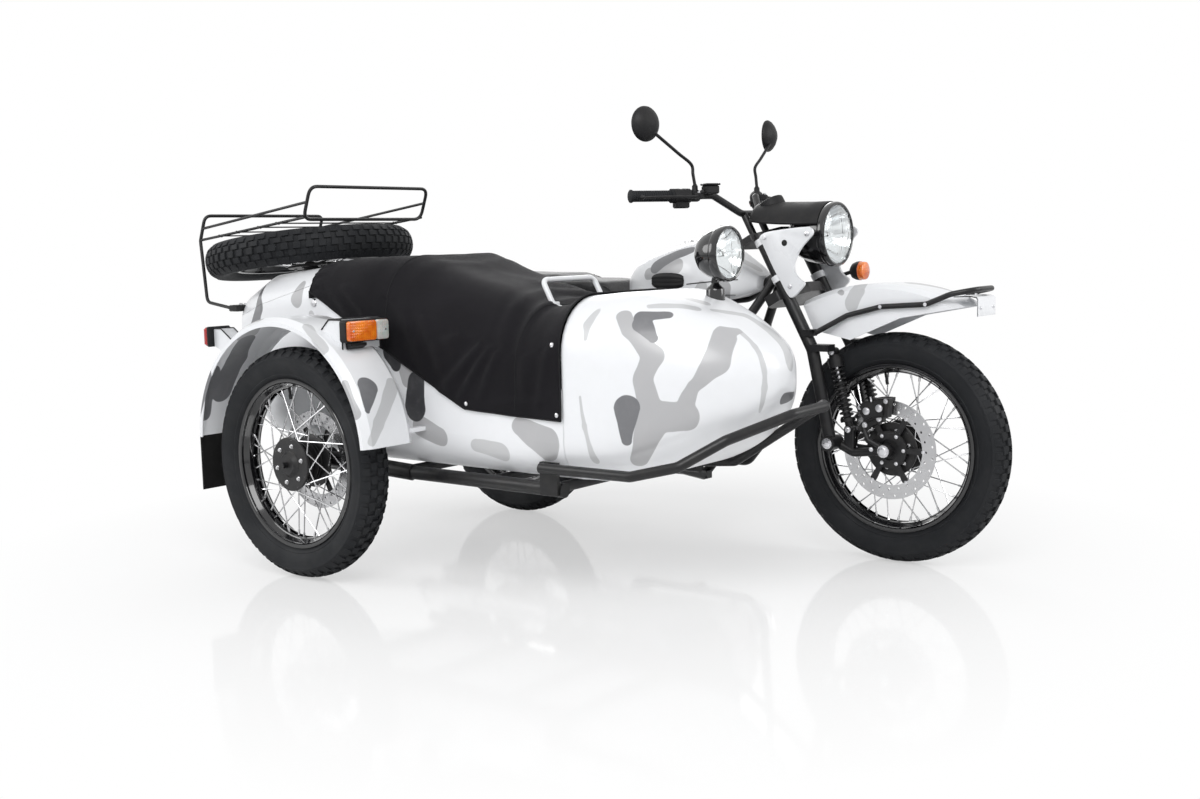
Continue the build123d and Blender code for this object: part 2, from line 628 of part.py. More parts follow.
with BuildPart() as car_seat:
    block((150, CAR_Y - 180, CAR_FLOOR_Z + CAR_WALL + TOUCH), (560, CAR_Y + 180, 560))
    block((90, CAR_Y - 180, 470), (150, CAR_Y + 180, 860))
finish(car_seat, "car_seat")

# ---------------------------------------------------------------- sidecar chassis
CHASSIS_IN = CAR_Y + 250.0
CHASSIS_OUT = CAR_Y - 275.0
BAR_SEAT_Y = CHASSIS_OUT - CHASSIS_R - 8.0
CROSS_R = 15.0            # cross members, which carry the body
CROSS_Z = CAR_FLOOR_Z - CROSS_R - TOUCH
with BuildPart() as chassis:
    rod((-60, CHASSIS_IN, CHASSIS_Z), (1080, CHASSIS_IN, CHASSIS_Z), CHASSIS_R)
    rod((20, CHASSIS_OUT, CHASSIS_Z), (1000, CHASSIS_OUT, CHASSIS_Z), CHASSIS_R)
    for x in (60.0, 400.0, 740.0, 975.0):
        rod((x, CHASSIS_OUT, CROSS_Z), (x, CHASSIS_IN, CROSS_Z), CROSS_R)
    for x in (915.0, 440.0):
        rod((x, CHASSIS_IN, CHASSIS_Z), (x, -160, CRADLE_Z), 17.0)
        block((x - 17, -170, CRADLE_Z - 12), (x + 17, -CRADLE_Y - CRADLE_R - TOUCH, CRADLE_Z + 12))
    rod((960, CHASSIS_IN, CHASSIS_Z), (1004, -112, 680), 14.0)
    rod((300, CHASSIS_IN, CHASSIS_Z), (352, -160, 660), 14.0)
    block((990, -128, 665), (1018, -94.8, 695))
    block((338, -170, 645), (366, -CRADLE_Y - CRADLE_R - TOUCH, 675))
    block((935, BAR_SEAT_Y, CHASSIS_Z - 12), (995, BAR_SEAT_Y + 12, 392))
    rod((420, CHASSIS_OUT, CHASSIS_Z), (CAR_LEAD, -1020, TYRE_R), 24.0)
    barrel((CAR_LEAD, TYRE_R), 30.0, -1040, -1000)
    barrel((CAR_LEAD, TYRE_R), AXLE_R, WHEEL_Y - 75, -1000)
finish(chassis, "chassis")

BAR_IN_Y = CHASSIS_IN + CHASSIS_R + CRASH_R + TOUCH
BAR_OUT_Y = BAR_SEAT_Y - CRASH_R - TOUCH
with BuildPart() as crash_bar:
    tube([(1000, BAR_IN_Y, CHASSIS_Z), (1180, BAR_IN_Y, 330), (1500, -440, 520), (1570, -560, 532), (1555, -700, 525),
          (1460, -870, 472), (1375, -960, 410), (1250, BAR_OUT_Y, 380), (950, BAR_OUT_Y, 378)], CRASH_R, 30.0)
finish(crash_bar, "crash_bar")

# ---------------------------------------------------------------- sidecar mudguard and lamps
with BuildPart() as guard:
    sheet_arch(GUARD_R, GUARD_HALF, 26.0, MUDGUARD_SHEET, 4.0, 178.0)
CAR_SIDE_Y = CAR_Y - 300.0 - TOUCH
GUARD_IN_Y = WHEEL_Y + GUARD_HALF - MUDGUARD_SHEET
with BuildPart() as car_mudguard:
    with Locations((GUARD_X, WHEEL_Y, GUARD_Z)):
        add(guard.part)
    block((105, GUARD_IN_Y, GUARD_Z + GUARD_R - 26), (155, CAR_SIDE_Y, GUARD_Z + GUARD_R - 20))
    block((482, GUARD_IN_Y, 448), (504, CAR_SIDE_Y, 460))
    block((-215, GUARD_IN_Y, 580), (-190, CAR_SIDE_Y + 12.7, 592))
finish(car_mudguard, "car_mudguard")
with BuildPart() as mudflap:
    block((-257, WHEEL_Y - 80, 240), (-252, WHEEL_Y + 80, 408))
finish(mudflap, "mudflap")
with BuildPart() as car_front_lamp:
    block((330, WHEEL_Y + 20, 690), (410, WHEEL_Y + 90, 790))
    barrel((GUARD_X, GUARD_Z), GUARD_R + TOUCH, WHEEL_Y - 100, WHEEL_Y + 100, Mode.SUBTRACT)
finish(car_front_lamp, "car_front_lamp")
with BuildPart() as car_rear_lamp:
    block((-255, WHEEL_Y - 40, 680), (-215, WHEEL_Y + 30, 745))
    block((-216, WHEEL_Y - 30, 600), (-150, WHEEL_Y + 20, 735))
    barrel((GUARD_X, GUARD_Z), GUARD_R + TOUCH, WHEEL_Y - 100, WHEEL_Y + 100, Mode.SUBTRACT)
finish(car_rear_lamp, "car_rear_lamp")

# ---------------------------------------------------------------- rack and grab handle
RACK_WIRE = 5.0
RAIL_WIRE = 4.5
RACK_NEAR = CAR_Y - 252.0
RACK_FAR = CAR_Y + 252.0
with BuildPart() as rack:
    rear = [(-425, 786), (-560, 806), (-580, 1010), (-548, 1092)]
    tube([(x, RACK_NEAR, z) for x, z in rear] + [(x, RACK_FAR, z) for x, z in reversed(rear)], RACK_WIRE, 20.0)
    front = [(-100, 1058), (-30, 1066), (5, 1168)]
    tube([(x, RACK_NEAR, z) for x, z in front] + [(x, RACK_FAR, z) for x, z in reversed(front)], RACK_WIRE, 20.0)
    for y in (RACK_NEAR + 0.5, RACK_FAR - 0.5):
        rod((-577, y, 1012), (-90, y, 1059), RAIL_WIRE)
        rod((-564, y, 1048), (-12, y, 1122), RAIL_WIRE)
    for x in (-450.0, -340.0, -230.0, -130.0):
        z = 1010 + (x + 579) * 47 / 489
        rod((x, RACK_NEAR + 0.5, z), (x, RACK_FAR - 0.5, z), RAIL_WIRE)
    block((-345, CAR_Y - 14, 1028), (-225, CAR_Y + 14, 1042))
    for side in (-1, 1):
        low, high = sorted((CAR_Y + side * 190, CAR_Y + side * 258))
        block((-440, low, 776), (-395, high, 797))
    hull(TAIL_SECTIONS, TOUCH, Mode.SUBTRACT)
finish(rack, "rack")
with BuildPart() as grab_handle:
    tube([(858, -790, 800), (792, -790, 882), (792, -560, 882), (858, -560, 800)], 8.0, 20.0)
    hull(MIDDLE_SECTIONS, COVER_CLOTH + 0.5 + TOUCH, Mode.SUBTRACT)
finish(grab_handle, "grab_handle")
SPOT_Y = -600.0
SPOT_Z = 935.0
with BuildPart() as spot_lamp:
    rod((1256, SPOT_Y, 780), (1262, SPOT_Y, 880), 12.0)
    rod((1230, SPOT_Y, SPOT_Z), (1300, SPOT_Y, SPOT_Z), 70.0)
    rod((1300, SPOT_Y, SPOT_Z), (1312, SPOT_Y, SPOT_Z), 76.0)
    hull(NOSE_SECTIONS, TOUCH, Mode.SUBTRACT)
finish(spot_lamp, "spot_lamp")
with BuildPart() as spot_lens:
    rod((1312, SPOT_Y, SPOT_Z), (1318, SPOT_Y, SPOT_Z), 68.0)
finish(spot_lens, "spot_lens")

os.makedirs("parts", exist_ok=True)
for name, piece in PARTS.items():
    export_step(piece.moved(TO_ORIGIN), f"parts/{name}.step")
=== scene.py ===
# %% [markdown]
# # Sidecar motorcycle
# A flat-twin motorcycle with a leading-link fork and a boat-shaped sidecar on its right.
# The engineering model comes first: its solids carry the joints, and every piece made here
# rides on one of its bodies, so that the wheels still roll, the fork still steers and the
# trunk lid still opens.

from math import asin, cos, hypot, pi, radians, sin, sqrt, tan

import bmesh
import bpy
import numpy as np
from mathutils import Matrix, Vector, noise


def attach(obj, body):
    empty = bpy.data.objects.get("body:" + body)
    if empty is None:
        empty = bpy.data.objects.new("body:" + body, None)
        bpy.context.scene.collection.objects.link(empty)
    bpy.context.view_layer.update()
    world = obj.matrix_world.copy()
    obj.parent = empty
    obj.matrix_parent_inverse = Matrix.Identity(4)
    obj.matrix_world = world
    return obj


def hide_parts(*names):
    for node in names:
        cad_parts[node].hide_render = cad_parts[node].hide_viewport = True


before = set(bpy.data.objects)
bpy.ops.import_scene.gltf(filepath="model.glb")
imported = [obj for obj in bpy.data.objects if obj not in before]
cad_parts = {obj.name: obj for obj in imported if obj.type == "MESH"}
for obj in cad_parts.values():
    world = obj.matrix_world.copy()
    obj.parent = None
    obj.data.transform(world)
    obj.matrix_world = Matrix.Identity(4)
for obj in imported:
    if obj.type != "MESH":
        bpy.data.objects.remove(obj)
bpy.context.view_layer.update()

# %% [markdown]
# ## One set of coordinates
# A motorcycle is drawn from the floor under its rear axle, in millimetres: X forward, Y to
# the rider's left, Z up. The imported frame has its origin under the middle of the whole
# outfit, in metres. One small function turns the first into the second, so that every size
# below can be written as a mechanic would measure it.

# %% Sizes of the outfit
WHEELBASE = 1508.0
TRACK = 1120.0
CAR_LEAD = 125.0
TYRE_R = 345.0
CAR_Y = -675.0
RAKE = radians(28.0)
ORIGIN_X = -594.0
ORIGIN_Y = 412.0
MM = 0.001
SHEET_METAL = 0.003
CANVAS_THICK = 0.0016


def at(x, y, z):
    """A point of the outfit, in millimetres from the floor under the rear axle, in metres."""
    return Vector(((x + ORIGIN_X) * MM, (y + ORIGIN_Y) * MM, z * MM))


def mm(x, y, z):
    """A step given in millimetres, as a vector in metres."""
    return Vector((x, y, z)) * MM


print("rear axle at", tuple(round(v, 3) for v in at(0, 0, TYRE_R)))

# %% [markdown]
# ## Camera
# The outfit is looked at from its right front corner, a little above the saddle. A lens of
# 41 mm on a 36 mm wide sensor keeps the near wheel from swelling, and a slight roll is part
# of the viewpoint. The matrix is built from three unit vectors: right, up and backwards.

# %% Camera
CAMERA_AT = (3315.8, -3721.1, 970.2)
CAMERA_YAW = radians(38.32)
CAMERA_PITCH = radians(6.51)
CAMERA_ROLL = radians(-1.35)
LENS_MM, SENSOR_MM = 41.0, 36.0


def add_camera():
    forward = Vector(
        (-sin(CAMERA_YAW) * cos(CAMERA_PITCH), cos(CAMERA_YAW) * cos(CAMERA_PITCH), -sin(CAMERA_PITCH))
    )
    right = Vector((cos(CAMERA_YAW), sin(CAMERA_YAW), 0.0))
    up = right.cross(forward)
    rolled_right = cos(CAMERA_ROLL) * right + sin(CAMERA_ROLL) * up
    rolled_up = -sin(CAMERA_ROLL) * right + cos(CAMERA_ROLL) * up
    data = bpy.data.cameras.new("studio_camera")
    data.sensor_fit = "HORIZONTAL"
    data.sensor_width = SENSOR_MM
    data.lens = LENS_MM
    data.clip_start = 0.05
    data.clip_end = 100.0
    camera = bpy.data.objects.new("studio_camera", data)
    columns = [rolled_right, rolled_up, -forward]
    turn = Matrix([[c[i] for c in columns] for i in range(3)]).to_4x4()
    camera.matrix_world = Matrix.Translation(at(*CAMERA_AT)) @ turn
    bpy.context.scene.collection.objects.link(camera)
    bpy.context.scene.camera = camera
    return camera


camera = add_camera()
print("camera at", tuple(round(v, 3) for v in camera.location))

# %% [markdown]
# ## Node trees
# Light, paint and cloth are all drawn by node trees. Wiring them socket by socket is long,
# so a small class adds a node and feeds its inputs in one line: a number or a colour is set,
# and another node's output is joined.

# %% A helper for node trees
class Tree:
    """A node tree with short ways to add nodes and feed their sockets."""

    def __init__(self, tree):
        self.tree = tree

    def node(self, kind, inputs=None, **settings):
        """A new node; settings are its attributes, inputs are fed by socket name or number."""
        made = self.tree.nodes.new("ShaderNode" + kind)
        for key, value in settings.items():
            setattr(made, key, value)
        self.feed(made, inputs or {})
        return made

    def feed(self, node, inputs):
        """Sets each input to a constant, or joins another node's output to it."""
        for key, value in inputs.items():
            socket = node.inputs[key]
            if isinstance(value, bpy.types.NodeSocket):
                self.tree.links.new(value, socket)
            elif isinstance(value, tuple) and len(value) < len(socket.default_value):
                socket.default_value = (*value, 1.0)
            else:
                socket.default_value = value

    def math(self, operation, *values, clamp=False):
        return self.node("Math", dict(enumerate(values)), operation=operation, use_clamp=clamp).outputs[0]

    def vector(self, operation, *values):
        made = self.node("VectorMath", dict(enumerate(values)), operation=operation)
        return made.outputs["Value" if operation in ("LENGTH", "DOT_PRODUCT") else "Vector"]

    def scaled(self, vector, factor):
        return self.node("VectorMath", {0: vector, "Scale": factor}, operation="SCALE").outputs["Vector"]

    def remap(self, value, low, high, new_low=0.0, new_high=1.0, smooth=False):
        ends = {"Value": value, "From Min": low, "From Max": high, "To Min": new_low, "To Max": new_high}
        kind = "SMOOTHSTEP" if smooth else "LINEAR"
        return self.node("MapRange", ends, interpolation_type=kind).outputs["Result"]

    def mix(self, mask, first, second):
        return self.node("Mix", {"Factor": mask, "A": first, "B": second}, data_type="RGBA").outputs["Result"]

    def place(self):
        """Where a point lies on its own object."""
        return self.node("TexCoord").outputs["Object"]

    def noise(self, place, scale, detail=2.0, roughness=0.5, output="Fac"):
        sockets = {"Vector": place, "Scale": scale, "Detail": detail, "Roughness": roughness}
        return self.node("TexNoise", sockets).outputs[output]

    def bump(self, height, strength, distance):
        return self.node(
            "Bump", {"Height": height, "Strength": strength, "Distance": distance},
        ).outputs["Normal"]


def node_group(name, inputs, outputs):
    """An empty node group: inputs are (socket name, type, start value), outputs (name, type)."""
    group = bpy.data.node_groups.new(name, "ShaderNodeTree")
    for socket, kind, start in inputs:
        made = group.interface.new_socket(socket, in_out="INPUT", socket_type="NodeSocket" + kind)
        if start is not None:
            made.default_value = start
    for socket, kind in outputs:
        group.interface.new_socket(socket, in_out="OUTPUT", socket_type="NodeSocket" + kind)
    return Tree(group), group.nodes.new("NodeGroupInput").outputs, group.nodes.new("NodeGroupOutput")


def new_material(name):
    """A material, a Tree for its nodes, and its Principled shader."""
    material = bpy.data.materials.new(name)
    material.use_nodes = True
    return material, Tree(material.node_tree), material.node_tree.nodes["Principled BSDF"]

# %% [markdown]
# ## Studio
# A white sweep could be modelled, but a flat floor and a world of the same white join
# without a seam. Light Path sends white to the camera, to mirrors and to glass, while the
# lighting itself comes from a softer world and a few large lamps, so nothing is over-lit.

# %% Floor, world and lamps
FLOOR_WHITE = (0.93, 0.93, 0.93)
FLOOR_REACH = 30.0
FLOOR_SHINE = 0.26
FLOOR_FADE = (1.0, 2.0)
WORLD_LIGHT = 0.50
LAMPS = [
    # name, place, aim, size (m), watts
    ("key_light", (2600, -3200, 3300), (500, -500, 400), 2.6, 90.0),
    ("side_light", (-1900, -3300, 2300), (200, -700, 400), 2.2, 45.0),
    ("front_light", (4200, 1300, 2100), (1000, 0, 500), 1.8, 42.0),
    ("back_light", (-1800, 2800, 2600), (300, 0, 500), 2.4, 36.0),
]


def add_world():
    world = bpy.data.worlds.new("studio_world")
    world.use_nodes = True
    world.node_tree.nodes.clear()
    tree = Tree(world.node_tree)
    ray = tree.node("LightPath").outputs
    seen = tree.math("MAXIMUM", ray["Is Camera Ray"], ray["Is Transmission Ray"])
    seen = tree.math("MAXIMUM", seen, ray["Is Glossy Ray"])
    lighting = tree.node("Background", {"Color": (0.98, 0.99, 1.0), "Strength": WORLD_LIGHT})
    white = tree.node("Background", {"Color": (1.0, 1.0, 1.0)})
    both = tree.node("MixShader", {"Fac": seen, 1: lighting.outputs[0], 2: white.outputs[0]})
    tree.node("OutputWorld", {"Surface": both.outputs[0]})
    bpy.context.scene.world = world


def add_floor():
    """A white floor that fades into the world's white, with a faint reflection near the middle."""
    mesh = bpy.data.meshes.new("floor")
    corners = [(x * FLOOR_REACH, y * FLOOR_REACH, 0) for x, y in ((-1, -1), (1, -1), (1, 1), (-1, 1))]
    mesh.from_pydata(corners, [], [(0, 1, 2, 3)])
    floor = bpy.data.objects.new("floor", mesh)
    bpy.context.scene.collection.objects.link(floor)
    material = bpy.data.materials.new("floor_white")
    material.use_nodes = True
    material.node_tree.nodes.clear()
    tree = Tree(material.node_tree)
    paper = tree.node("BsdfDiffuse", {"Color": FLOOR_WHITE})
    gloss = tree.node("BsdfGlossy", {"Roughness": 0.07})
    surface = tree.node("MixShader", {"Fac": FLOOR_SHINE, 1: paper.outputs[0], 2: gloss.outputs[0]})
    far = tree.remap(tree.vector("LENGTH", tree.place()), *FLOOR_FADE, 0.50)
    lift = tree.math("MULTIPLY", tree.node("LightPath").outputs["Is Camera Ray"], far)
    glow = tree.node("Emission", {"Strength": 1.0})
    both = tree.node("MixShader", {"Fac": lift, 1: surface.outputs[0], 2: glow.outputs[0]})
    tree.node("OutputMaterial", {"Surface": both.outputs[0]})
    mesh.materials.append(material)


def add_lamp(name, place, aim, size, watts):
    data = bpy.data.lights.new(name, "AREA")
    data.shape = "DISK"
    data.size = size
    data.energy = watts
    lamp = bpy.data.objects.new(name, data)
    way = at(*aim) - at(*place)
    lamp.matrix_world = Matrix.Translation(at(*place)) @ way.to_track_quat("-Z", "Y").to_matrix().to_4x4()
    bpy.context.scene.collection.objects.link(lamp)


add_world()
add_floor()
for lamp in LAMPS:
    add_lamp(*lamp)
bpy.context.scene.view_settings.view_transform = "Standard"
print("lamps:", len(LAMPS))

# %% [markdown]
# ## Shared effects
# Paint, rubber, castings and plastic all need small changes of gloss and a little relief.
# Each effect is one node group with named sockets, built once and placed in many materials
# with other values. Groups give out colours, masks, values and normals only; the Principled
# shader stays in each material.

# %% Fine grain: moulded plastic, castings, leather and powder coat
def make_grain():
    tree, given, out = node_group(
        "Fine grain",
        [
            ("Scale", "Float", 900.0), ("Relief", "Float", 0.2), ("Gloss low", "Float", 0.4),
            ("Gloss high", "Float", 0.55),
        ],
        [("Roughness", "Float"), ("Normal", "Vector"), ("Mask", "Float")],
    )
    place = tree.place()
    fine = tree.noise(place, given["Scale"], 3.0)
    patch = tree.remap(tree.noise(place, 9.0, 4.0), 0.35, 0.65, smooth=True)
    gloss = tree.node("Mix", {"Factor": patch, "A": given["Gloss low"], "B": given["Gloss high"]})
    normal = tree.bump(fine, given["Relief"], 0.0006)
    tree.feed(out, {"Roughness": gloss.outputs["Result"], "Normal": normal, "Mask": patch})
    return tree.tree


GRAIN = make_grain()

# %% Road dust: specks scattered by noise
def make_dust():
    tree, given, out = node_group(
        "Road dust",
        [
            ("Colour", "Color", (0.02, 0.02, 0.02, 1)), ("Dust", "Color", (0.20, 0.18, 0.15, 1)),
            ("Amount", "Float", 0.3),
        ],
        [("Colour", "Color"), ("Mask", "Float")],
    )
    speck = tree.noise(tree.place(), 26.0, 8.0, 0.65)
    mask = tree.math("MULTIPLY", tree.remap(speck, 0.42, 0.72, smooth=True), given["Amount"])
    tree.feed(out, {"Colour": tree.mix(mask, given["Colour"], given["Dust"]), "Mask": mask})
    return tree.tree


DUST = make_dust()
print("shared effects:", [g.name for g in bpy.data.node_groups])

# %% [markdown]
# ## Plain finishes
# Most of the machine wears a few finishes: powder-coated frame tubes, glossy black lamp
# shells, cast alloy, chrome, rubber and moulded plastic. One function lays down the
# Principled shader with its constants set on its own sockets, and feeds the grain group
# into roughness and normal.

# %% A function for finishes
DRY_DUST = (0.20, 0.18, 0.15)


def skin(tree, shader, colour, gloss, grain, relief, dust, dust_colour):
    """Feeds a shader with colour under dust, and with gloss and relief from the grain."""
    dusty = tree.node("Group", {"Colour": colour, "Dust": dust_colour, "Amount": dust}, node_tree=DUST)
    values = {"Scale": grain, "Relief": relief, "Gloss low": gloss[0], "Gloss high": gloss[1]}
    grained = tree.node("Group", values, node_tree=GRAIN).outputs
    tree.feed(shader, {
        "Base Color": dusty.outputs["Colour"], "Roughness": grained["Roughness"], "Normal": grained["Normal"],
    })


def finish_of(
    name, colour, gloss=(0.4, 0.5), grain=900.0, relief=0.15, dust=0.0, dust_colour=DRY_DUST, **constants,
):
    """A material of one colour whose gloss and relief vary finely."""
    material, tree, shader = new_material(name)
    tree.feed(shader, {key.replace("_", " "): value for key, value in constants.items()})
    skin(tree, shader, colour, gloss, grain, relief, dust, dust_colour)
    return material


BLACK_FRAME = finish_of(
    "black_powder_coat", (0.010, 0.010, 0.011), (0.30, 0.40), 1400.0, 0.25, 0.04, Specular_IOR_Level=0.35,
)
BLACK_GLOSS = finish_of(
    "black_gloss_enamel", (0.005, 0.005, 0.006), (0.10, 0.16), 300.0, 0.02, Coat_Weight=0.6,
    Coat_Roughness=0.05,
)
BLACK_PLASTIC = finish_of(
    "black_moulded_plastic", (0.010, 0.010, 0.011), (0.45, 0.6), 1100.0, 0.3, 0.03, Specular_IOR_Level=0.25,
)
RUBBER = finish_of(
    "tyre_rubber", (0.012, 0.013, 0.015), (0.62, 0.78), 700.0, 0.35, 0.06, (0.07, 0.067, 0.06),
    Specular_IOR_Level=0.25,
)
FLAP_RUBBER = finish_of(
    "flap_rubber", (0.008, 0.008, 0.008), (0.55, 0.7), 500.0, 0.4, 0.08, (0.05, 0.048, 0.045),
    Specular_IOR_Level=0.2,
)
STEEL = finish_of("polished_steel", (0.62, 0.62, 0.63), (0.16, 0.28), 400.0, 0.04, 0.0, Metallic=1.0)
ZINC = finish_of("zinc_plated_steel", (0.72, 0.72, 0.74), (0.22, 0.38), 500.0, 0.08, 0.0, Metallic=1.0)
CHROME = finish_of("chrome", (0.78, 0.78, 0.79), (0.05, 0.12), 200.0, 0.01, 0.0, Metallic=1.0)
ALLOY = finish_of(
    "cast_alloy", (0.38, 0.38, 0.39), (0.38, 0.55), 420.0, 0.45, 0.12, (0.08, 0.075, 0.07), Metallic=0.85,
)
BLACK_ALLOY = finish_of(
    "black_cast_alloy", (0.014, 0.014, 0.015), (0.34, 0.46), 420.0, 0.5, 0.06, Specular_IOR_Level=0.35,
)
DISC_STEEL = finish_of("ground_disc_steel", (0.56, 0.56, 0.57), (0.22, 0.34), 160.0, 0.05, 0.0, Metallic=1.0)
MIRROR_GLASS = finish_of("mirror_glass", (0.85, 0.86, 0.87), (0.01, 0.02), 20.0, 0.0, 0.0, Metallic=1.0)
REFLECTOR = finish_of("lamp_reflector", (0.86, 0.87, 0.88), (0.06, 0.10), 60.0, 0.02, 0.0, Metallic=1.0)
WHITE_ENAMEL = finish_of(
    "white_enamel", (0.78, 0.79, 0.81), (0.24, 0.32), 260.0, 0.03, 0.03, (0.5, 0.49, 0.47), Coat_Weight=0.4,
    Coat_Roughness=0.12,
)
print("finishes:", len(bpy.data.materials))

# %% [markdown]
# ## Winter camouflage paint
# The body panels are white enamel with grey patches that were masked and sprayed, so each
# patch has a firm, wavy edge. A painted texture would show this, but it would blur close up
# and need its own file. Here a patch is drawn as a few strokes: a stroke is every point
# nearer than its radius to a line between two places on the panel, and the radius may grow
# on the way, which gives drops and tapering arms. The strokes of one tone are joined by
# their greatest depth, and a little noise bends the edge, so the outline looks cut by hand.
# The same strokes also paint shade: pale grey along the nose's rounded top edge and down
# its front crease, and the darkest grey on the tub's side just under the cover's hem.

# %% One stroke of a patch
def make_stroke():
    tree, given, out = node_group(
        "Paint stroke",
        [
            ("Point", "Vector", None), ("Start", "Vector", None), ("Run", "Vector", None),
            ("Radius", "Float", 0.05), ("Growth", "Float", 0.0),
        ],
        [("Depth", "Float")],
    )
    run = given["Run"]
    reach = tree.vector("SUBTRACT", given["Point"], given["Start"])
    ahead, length = tree.vector("DOT_PRODUCT", reach, run), tree.vector("DOT_PRODUCT", run, run)
    along = tree.math("DIVIDE", ahead, length, clamp=True)
    off = tree.vector("LENGTH", tree.vector("SUBTRACT", reach, tree.scaled(run, along)))
    here = tree.math("MULTIPLY_ADD", along, given["Growth"], given["Radius"])
    tree.feed(out, {"Depth": tree.math("SUBTRACT", here, off)})
    return tree.tree


STROKE = make_stroke()

# %% The enamel and its patches
PALE_GREY = (0.545, 0.55, 0.56)
MID_GREY = (0.43, 0.43, 0.44)
DARK_GREY = (0.16, 0.162, 0.172)
# dark grey darkened further: painted shade for the tub's side just under the cover's hem
HEM_SHADE_GREY = (0.045, 0.045, 0.05)
CAMO_WHITE = (0.80, 0.81, 0.83)


def camouflage(name, patches):
    """White enamel with patches, some of them painted shade: each is a tone and a run of (x, y, z, radius) in
    millimetres.
    """
    material, tree, shader = new_material(name)
    place = tree.place()
    waver = tree.noise(place, 9.0, 1.5, output="Color")
    bent = tree.vector("ADD", place, tree.scaled(tree.vector("SUBTRACT", waver, (0.5, 0.5, 0.5)), 0.022))
    colour = CAMO_WHITE
    for tone in (PALE_GREY, MID_GREY, DARK_GREY, HEM_SHADE_GREY):
        deepest = None
        for kind, *points in patches:
            if kind != tone:
                continue
            for first, last in zip(points, points[1:]):
                start, end = at(*first[:3]), at(*last[:3])
                depth = tree.node("Group", {
                    "Point": bent, "Start": tuple(start), "Run": tuple(end - start),
                    "Radius": first[3] * MM, "Growth": (last[3] - first[3]) * MM,
                }, node_tree=STROKE).outputs["Depth"]
                deepest = depth if deepest is None else tree.math("SMOOTH_MAX", deepest, depth, 0.012)
        if deepest is not None:
            colour = tree.mix(tree.remap(deepest, -0.001, 0.001), colour, tone)
    skin(tree, shader, colour, (0.28, 0.36), 260.0, 0.03, 0.05, (0.60, 0.59, 0.57))
    tree.feed(shader, {"Coat Weight": 0.35, "Coat Roughness": 0.14})
    return material

# %% Patches on the nose, with painted shade along its top edge and front crease
NOSE_PAINT = camouflage("nose_camouflage_and_shade", [
    (MID_GREY, (1181, -913, 784, 21), (1216, -929, 747, 22), (1284, -928, 683, 28)),
    (MID_GREY, (1284, -928, 683, 27), (1260, -942, 624, 26), (1273, -937, 565, 31)),
    (MID_GREY, (1282, -933, 531, 41), (1356, -899, 528, 39)),
    (MID_GREY, (1282, -934, 519, 41), (1231, -926, 415, 26)),
    (MID_GREY, (1360, -897, 566, 22), (1377, -887, 608, 14), (1419, -847, 665, 33),
     (1415, -798, 726, 29)),
    (MID_GREY, (1409, -785, 736, 23), (1422, -749, 739, 12)),
    # a thin pale stroke down the crease between the nose's side and front is painted shade
    (PALE_GREY, (1420, -746, 740, 10), (1474, -754, 701, 7), (1509, -757, 635, 9), (1510, -758, 593, 11),
     (1489, -757, 532, 5)),
    (DARK_GREY, (1222, -896, 785, 18), (1281, -854, 787, 13)),
    (DARK_GREY, (1238, -908, 764, 28), (1275, -913, 730, 14)),
    (DARK_GREY, (1216, -953, 549, 37), (1211, -954, 467, 15)),
    # these pale strokes along the nose's rounded top edge are painted shade, not sprayed patches
    (PALE_GREY, (1093, -962, 727, 6), (1087, -947, 761, 13), (1110, -880, 812, 9)),
    (PALE_GREY, (1130, -820, 832, 12), (1290, -700, 812, 20)),
    (PALE_GREY, (1226, -861, 809, 8), (1312, -775, 800, 15)),
    (PALE_GREY, (1331, -725, 793, 9), (1372, -630, 769, 14), (1446, -613, 725, 20),
     (1522, -641, 655, 26)),
    (PALE_GREY, (1077, -971, 576, 4), (1092, -970, 498, 7), (1117, -963, 403, 11)),
    (DARK_GREY, (1514, -661, 556, 20), (1500, -606, 566, 12)),
    (MID_GREY, (1100, -420, 780, 40), (1190, -396, 690, 52), (1330, -440, 620, 34)),
    (MID_GREY, (1190, -396, 600, 40), (1120, -380, 470, 56)),
    (DARK_GREY, (1270, -420, 500, 44), (1330, -450, 560, 20)),
    (PALE_GREY, (1060, -560, 838, 44), (1180, -600, 842, 30)),
    (DARK_GREY, (1140, -500, 830, 30), (1230, -520, 815, 18)),
])

